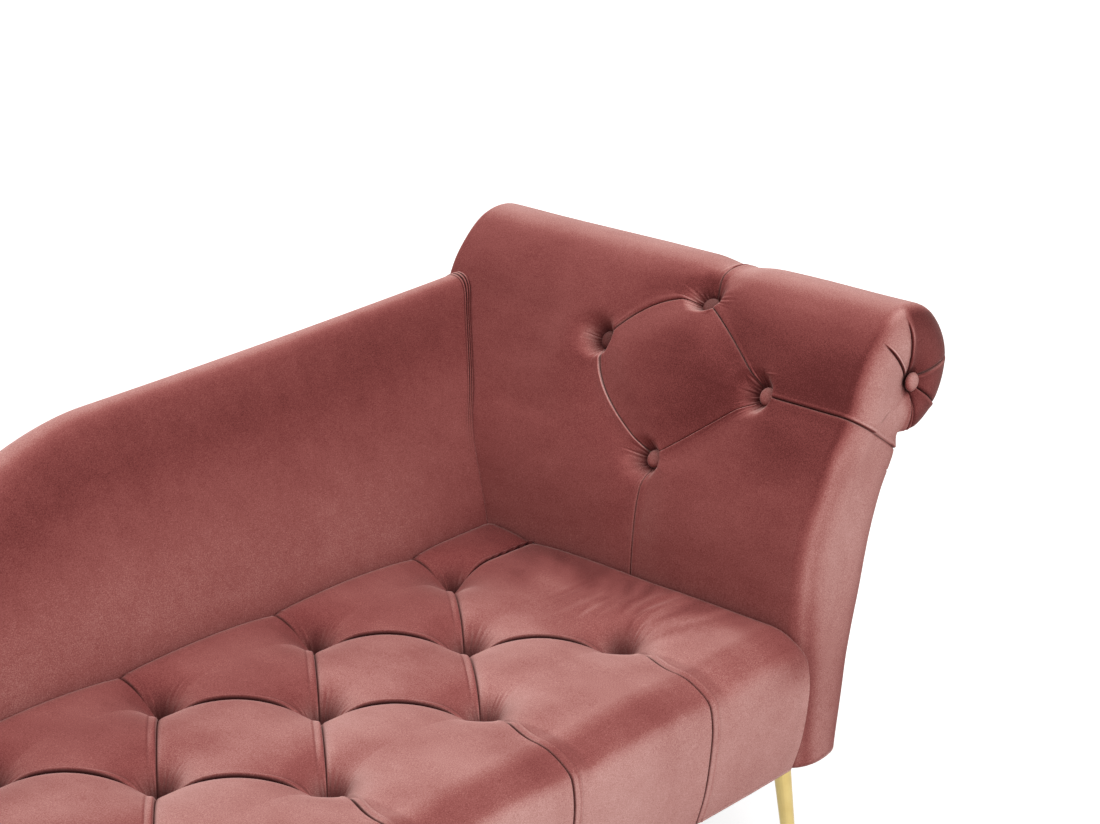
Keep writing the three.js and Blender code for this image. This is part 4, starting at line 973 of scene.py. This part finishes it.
# The back's painted light and shade: tone by depth below its top, and a painted highlight on its top by how
# it faces
BACK_TONES = [0.1, 0.22, 0.4, 0.65, 0.85, 1.0], [0.2, 0.17, 0.29, 0.44, 0.47, 0.38]
BACK_TOP_TONES = [-0.75, -0.5, -0.2, 0.2], [0, 0.12, 0.45, 0.65]


def crest(x):
    share = -x / SEAT_LENGTH
    high = 1 - CREST_FALL * (1 - np.exp(-share / FALL_LENGTH))
    return LIP + CREST_RISE * (high + (CREST_LOW - high) * smooth(share, 0.42, 0.97))


def lean(z):
    return LEAN_REACH * (np.maximum(z - LEAN_FROM, 0) / LEAN_STRETCH) ** LEAN_POWER


def nose_shift(x, z):
    """How far the back's foot end stands back, to follow the seat's nose."""
    drop = (LIP + 31 - z) / 186
    reach = np.interp(drop, [0.29, 0.475, 0.743, 1], [1, 0.96, 0.82, 0.58])
    return NOSE * (1 - reach) * (drop > 0.29) * np.clip(1 - (x + SEAT_LENGTH) / NOSE_REACH, 0, 1)


def back_painted_light(points, normals):
    """Painted light and shade of the back: dark below its top, lighter towards the seat and away from the
    arm.
    """
    x, y, z = points.T
    below = (crest(x) - z) / (crest(x) - LEAN_FROM)
    tone = np.interp(below, *BACK_TONES)
    tone = tone * (1 - 0.35 * smooth(x, -190, -20) * smooth(below, 0.3, 0.8))
    # painted highlight on the top where it faces up and away
    tone += np.interp(normals[:, 1], *BACK_TOP_TONES) * smooth(normals[:, 2], 0.4, 0.8)
    return tone + 0.05 * wander(x, z, 41, 260)


def bezier(a, b, c, d, share):
    a, b, c, d = (np.array(v)[:, None] for v in (a, b, c, d))
    rest = 1 - share
    return a * rest ** 3 + 3 * b * share * rest ** 2 + 3 * c * share ** 2 * rest + d * share ** 3


def back_ring(x, inset):
    """The back's outline at one x, from the underside up its face, over the top and down its rear."""
    foot = -x / SEAT_LENGTH
    top = crest(x) - inset
    cap = min(CAP_HEIGHT, (top - LEAN_FROM) * 0.62)
    side = top - cap
    rear_side = top - cap * (1 - 0.35 * smooth(foot, 0.5, 0.75))
    up_face = np.linspace(0, 1, FACE_LINES)
    z_face = np.concatenate([[FLOOR_GAP, BOX_LINE], SEAT_LINE + (side - SEAT_LINE) * up_face])
    y_face = lean(z_face) + inset
    front, rear = y_face[-1], BACK_DEPTH - inset
    slope = (lean(side) - lean(side - 4)) / 4
    apex = front + (rear - front) * 0.66
    share = np.linspace(0, 1, CAP_LINES)[1:]
    pull = 0.56 + 0.12 * smooth(foot, 0.4, 0.65)
    up = bezier((front, side), (front + slope * cap * 0.45, side + cap * 0.45),
                (apex - (apex - front) * 0.56, top), (apex, top), share)
    down = bezier((apex, top), (apex + (rear - apex) * pull, top),
                  (rear, rear_side + (top - rear_side) * (1 - pull)), (rear, rear_side), share)
    behind = (rear - np.array(REAR_SEAM), rear_side + (FLOOR_GAP - rear_side) * np.array(REAR_SHARES))
    return np.concatenate([(y_face, z_face), up, down, behind], 1)


def back_rings():
    """All outlines, from the rounded foot end to the arm's inner face."""
    face = arm_line[:top_at]
    first = -SEAT_LENGTH + FOOT_ROUND
    rings = []
    for turn in np.radians(np.linspace(0, 78, 8)):
        x = -SEAT_LENGTH + FOOT_ROUND * (1 - math.cos(turn))
        y, z = back_ring(x, FOOT_ROUND * (1 - math.sin(turn)))
        rings.append(np.stack([x + nose_shift(x, z), y, z], -1))
    fine = 1 - np.arange(0, 36) * 0.7 / 1300
    for share in np.sort(np.concatenate([np.linspace(0, fine[-1] - 0.002, BACK_RINGS), fine])):
        x = first + (ARM_OVERLAP - first) * share
        y, z = back_ring(x, 0.0)
        x_face = np.interp(z, face[:, 1], face[:, 0]) - 0.5
        x_here = first + (x_face - first) * share
        z = z + (crest(x_here) - crest(x)) * smooth(z, 400, crest(x))
        soft = 1.3 * wander(x_here, z, 13, 300) * smooth(z, 395, 440) * smooth(share, 0, 0.03)
        rings.append(np.stack([x_here + nose_shift(x_here, z), y - soft, z], -1))
    return np.stack(rings)


def gather(skin):
    """Three thin folds where the back rounds over into the arm. Returns their painted shade, and painted
    highlights as negative values.
    """
    away = skin[-1, :, 0][None] - skin[:, :, 0]
    high = smooth(skin[:, :, 2], 470, 600)
    across = away / (1 + 0.65 * smooth(skin[:, :, 1], 105, 165))
    shown = smooth(across, 0.2, 1.0) * (1 - smooth(across, *GATHER_END))
    wave = np.cos(2 * np.pi * across / GATHER) * shown
    flank = np.cos(2 * np.pi * (across + 0.5) / GATHER) * shown
    inward = 4.5 * round_drop(away, 15) * (0.35 + 0.65 * high) - 1.1 * wave * high
    along = np.gradient(skin, axis=1)
    out_y, out_z = along[:, :, 2], -along[:, :, 1]
    size = np.maximum(np.hypot(out_y, out_z), 1e-9)
    facing = part_way(skin[:, :, 2], 300, 360) * (skin[:, :, 1] < BACK_DEPTH - 2)
    skin[:, :, 1] += inward * out_y / size * facing
    skin[:, :, 2] += inward * out_z / size * facing
    return np.clip(-flank * 1.3, 0, 1) * high - 0.5 * np.clip(flank, 0, 1) ** 2 * high


def close_foot(shell, ring):
    """Close the foot end level by level, with triangles between its front and its rear."""
    top = int(np.argmax(ring[:, 2]))
    front, rear = ring[:top + 1], ring[:top - 1:-1]
    a, b = 0, 0
    while a < len(front) - 1 or b < len(rear) - 1:
        if b == len(rear) - 1 or (a < len(front) - 1 and front[a + 1, 2] <= rear[b + 1, 2]):
            shell.face([front[a], rear[b], front[a + 1]])
            a += 1
        else:
            shell.face([front[a], rear[b], rear[b + 1]])
            b += 1


def back_cover():
    skin = back_rings()
    gap = gather(skin)
    gap[:, SEAM_LINE - len(REAR_SEAM)] = 0.85
    shell = Shell()
    shell.grid(skin, flip=True, groove=gap)
    close_foot(shell, skin[0])
    shell.face(skin[-1], flip=True)
    shell.grid(np.stack([skin[:, -1], skin[:, 0]], 1))
    piece = shell.build("back_cover", velvet, back_painted_light)
    finish(piece, "velvet", "back_cushion", "back_outer_panel", fill=0.8)


seat_cover()
arm_cover()
back_cover()

# Buttons
BUTTON_SIDES, BUTTON_RADIUS = 40, 11.8
DOME_FOOT, DOME_RISE = 1.4, 4.4
BUTTON_SUNK = {"low": 19.5, "front": 18.5, "high": 20.0, "rear": 20.0}
# Painted shade over the buttons that sit deep in their pits
BUTTON_SHADE = {"low": 0.1, "front": 0.05, "high": 0.62, "rear": 0.66}
ROSETTE_SUNK = 4.0
dome_turns = np.radians(np.linspace(0, 90, 12))[:-1]
dome = [(BUTTON_RADIUS * math.cos(t) ** 0.62, DOME_FOOT + DOME_RISE * math.sin(t) ** 1.3) for t in dome_turns]
shank = [(0, -3.5), (8.0, -3.5), (11.0, -1.4), (BUTTON_RADIUS, 0.2)]
BUTTON_PROFILE = [*shank, *dome, (0, DOME_FOOT + DOME_RISE)]


# Painted light on the buttons: lighter where they face up, darker where they face the front
def button_painted_light(points, normals):
    return 0.34 + 0.3 * normals[:, 2] - 0.4 * np.minimum(normals[:, 1], 0) ** 3


def button(name, node, origin, axis, dark=0.0):
    """A covered button turned round the axis: its profile is (radius, height) from the origin."""
    axis = Vector(axis).normalized()
    side = axis.orthogonal().normalized()
    other = axis.cross(side)
    turns = np.linspace(0, 2 * np.pi, BUTTON_SIDES, endpoint=False)
    centre, along = np.array(origin), np.array(axis)
    rows = [centre + np.outer(np.cos(turns) * radius, side) + np.outer(np.sin(turns) * radius, other)
            + height * along for radius, height in BUTTON_PROFILE]
    grid = np.stack(rows)
    grid = np.concatenate([grid, grid[:, :1]], 1)
    shell = Shell()
    # the whole button takes its painted shade
    shell.grid(grid, groove=np.full(grid.shape[:2], dark))
    finish(shell.build(name, velvet, button_painted_light), "velvet", node, fill=0.9)


for name, (gone, y) in ARM_TUFTS.items():
    spot, out = arm_outline(np.array([gone]))
    base = spot[0] - out[0] * BUTTON_SUNK[name]
    origin, axis = (base[0], y, base[1]), (out[0][0], 0, out[0][1])
    button(f"button_{name}", f"arm_button_{name}", origin, axis, BUTTON_SHADE[name])
for name, y, way in (("front", ARM_FRONT + ROSETTE_SUNK, -1), ("rear", BACK_DEPTH - ROSETTE_SUNK, 1)):
    button(f"rosette_button_{name}", f"rosette_{name}", (ROLL_X, y, ROSETTE_Z), (0, way, 0))

# Cloth sheets
SHEET_LINES = 60, 26
SHEET_THICKNESS, DECK_INSET = 0.0008, 0.001


def sheet(name, node, slot, height):
    """A sheet in its node's box. height gives z from the box's bottom, its top and the share of its depth."""
    lo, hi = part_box(node)
    x, y = np.meshgrid(np.linspace(lo.x, hi.x, SHEET_LINES[0]), np.linspace(lo.y, hi.y, SHEET_LINES[1]))
    z = height(lo.z, hi.z, (y - lo.y) / (hi.y - lo.y))
    shell = Shell()
    shell.grid((np.stack([x, y, z], -1) / MM) - SHIFT)
    piece = shell.build(name, finishes[slot])
    solid = piece.modifiers.new("thickness", "SOLIDIFY")
    solid.thickness, solid.offset = SHEET_THICKNESS, 0.0
    finish(piece, slot, node)


def flat_height(low, high, share):
    return np.full_like(share, (low + high) / 2)


def arch_height(low, high, share):
    return low + DECK_INSET + (high - low - 2 * DECK_INSET) * 4 * share * (1 - share)


sheet("dust_cloth", "dust_cover", "black_cloth", flat_height)
sheet("deck_sheet", "seat_deck", "deck_cloth", arch_height)

# Materials of the kept nodes
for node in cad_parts.values():
    for place in node.material_slots:
        place.material = finishes[place.material.name.split(".")[0]]

# Camera, light and floor, in metres
LENS, SENSOR = 80.72, 36.0
CAMERA_PLACE = (-1.67723, -1.94145, 1.6518)
LOOKS_DOWN, LOOKS_ROUND = 19.94, -47.20
LAMP_AIM = (0.0, 0.0, 0.4)
WORLD_LIGHT, FLOOR_SHARE, FLOOR_SIZE = 0.3, 0.8, 9
# The floor near the couch keeps its shadow, and farther out it goes over to white
FLOOR_GLOW, GLOW_START, GLOW_END = 0.62, 1.5, 4.0
scene = bpy.context.scene
scene.view_settings.view_transform = "Standard"
camera_data = bpy.data.cameras.new("camera")
camera_data.lens, camera_data.sensor_width, camera_data.sensor_fit = LENS, SENSOR, "HORIZONTAL"
camera = bpy.data.objects.new("camera", camera_data)
camera.location = CAMERA_PLACE
camera.rotation_euler = (math.radians(90 - LOOKS_DOWN), 0.0, math.radians(LOOKS_ROUND))
scene.collection.objects.link(camera)
scene.camera = camera


def lamp(name, place, target, power, size):
    data = bpy.data.lights.new(name, "AREA")
    data.shape, data.size, data.size_y = "RECTANGLE", *size
    data.energy = power
    light = bpy.data.objects.new(name, data)
    light.location = place
    light.rotation_euler = (Vector(target) - Vector(place)).to_track_quat("-Z", "Y").to_euler()
    scene.collection.objects.link(light)


lamp("key", (-0.6, -3.2, 2.4), LAMP_AIM, 76, (2.0, 1.4))
lamp("top", (0.2, 0.5, 3.0), (0.0, 0.0, 0.3), 44, (2.2, 1.6))
lamp("side", (-3.0, -0.8, 1.5), LAMP_AIM, 20, (1.8, 1.6))

world = bpy.data.worlds.new("studio")
scene.world = world
world.use_nodes = True
sky = Nodes(world.node_tree)
background = world.node_tree.nodes["Background"]
sky.put(background.inputs["Color"], (1, 1, 1, 1))
sky.put(background.inputs["Strength"], sky.fade(sky.seen_rays(), WORLD_LIGHT, 1.0))

corners = [(-FLOOR_SIZE, -FLOOR_SIZE, 0), (FLOOR_SIZE, -FLOOR_SIZE, 0), (FLOOR_SIZE, FLOOR_SIZE, 0),
           (-FLOOR_SIZE, FLOOR_SIZE, 0)]
floor_mesh = bpy.data.meshes.new("floor")
floor_mesh.from_pydata(corners, [], [(0, 1, 2, 3)])
floor = bpy.data.objects.new("floor", floor_mesh)
scene.collection.objects.link(floor)
ground = Finish("floor_white")
spot = ground.add("ShaderNodeNewGeometry").outputs["Position"]
away = ground.add("ShaderNodeVectorMath", {0: spot}, operation="LENGTH").outputs["Value"]
glow = ground.math("MULTIPLY", ground.seen_rays(), ground.fade(away, FLOOR_GLOW, 1.0, GLOW_START, GLOW_END))
floor_mesh.materials.append(ground.wire(
    Base_Color=(FLOOR_SHARE, FLOOR_SHARE, FLOOR_SHARE, 1), Roughness=0.9,
    Emission_Color=(1, 1, 1, 1), Emission_Strength=glow,
))
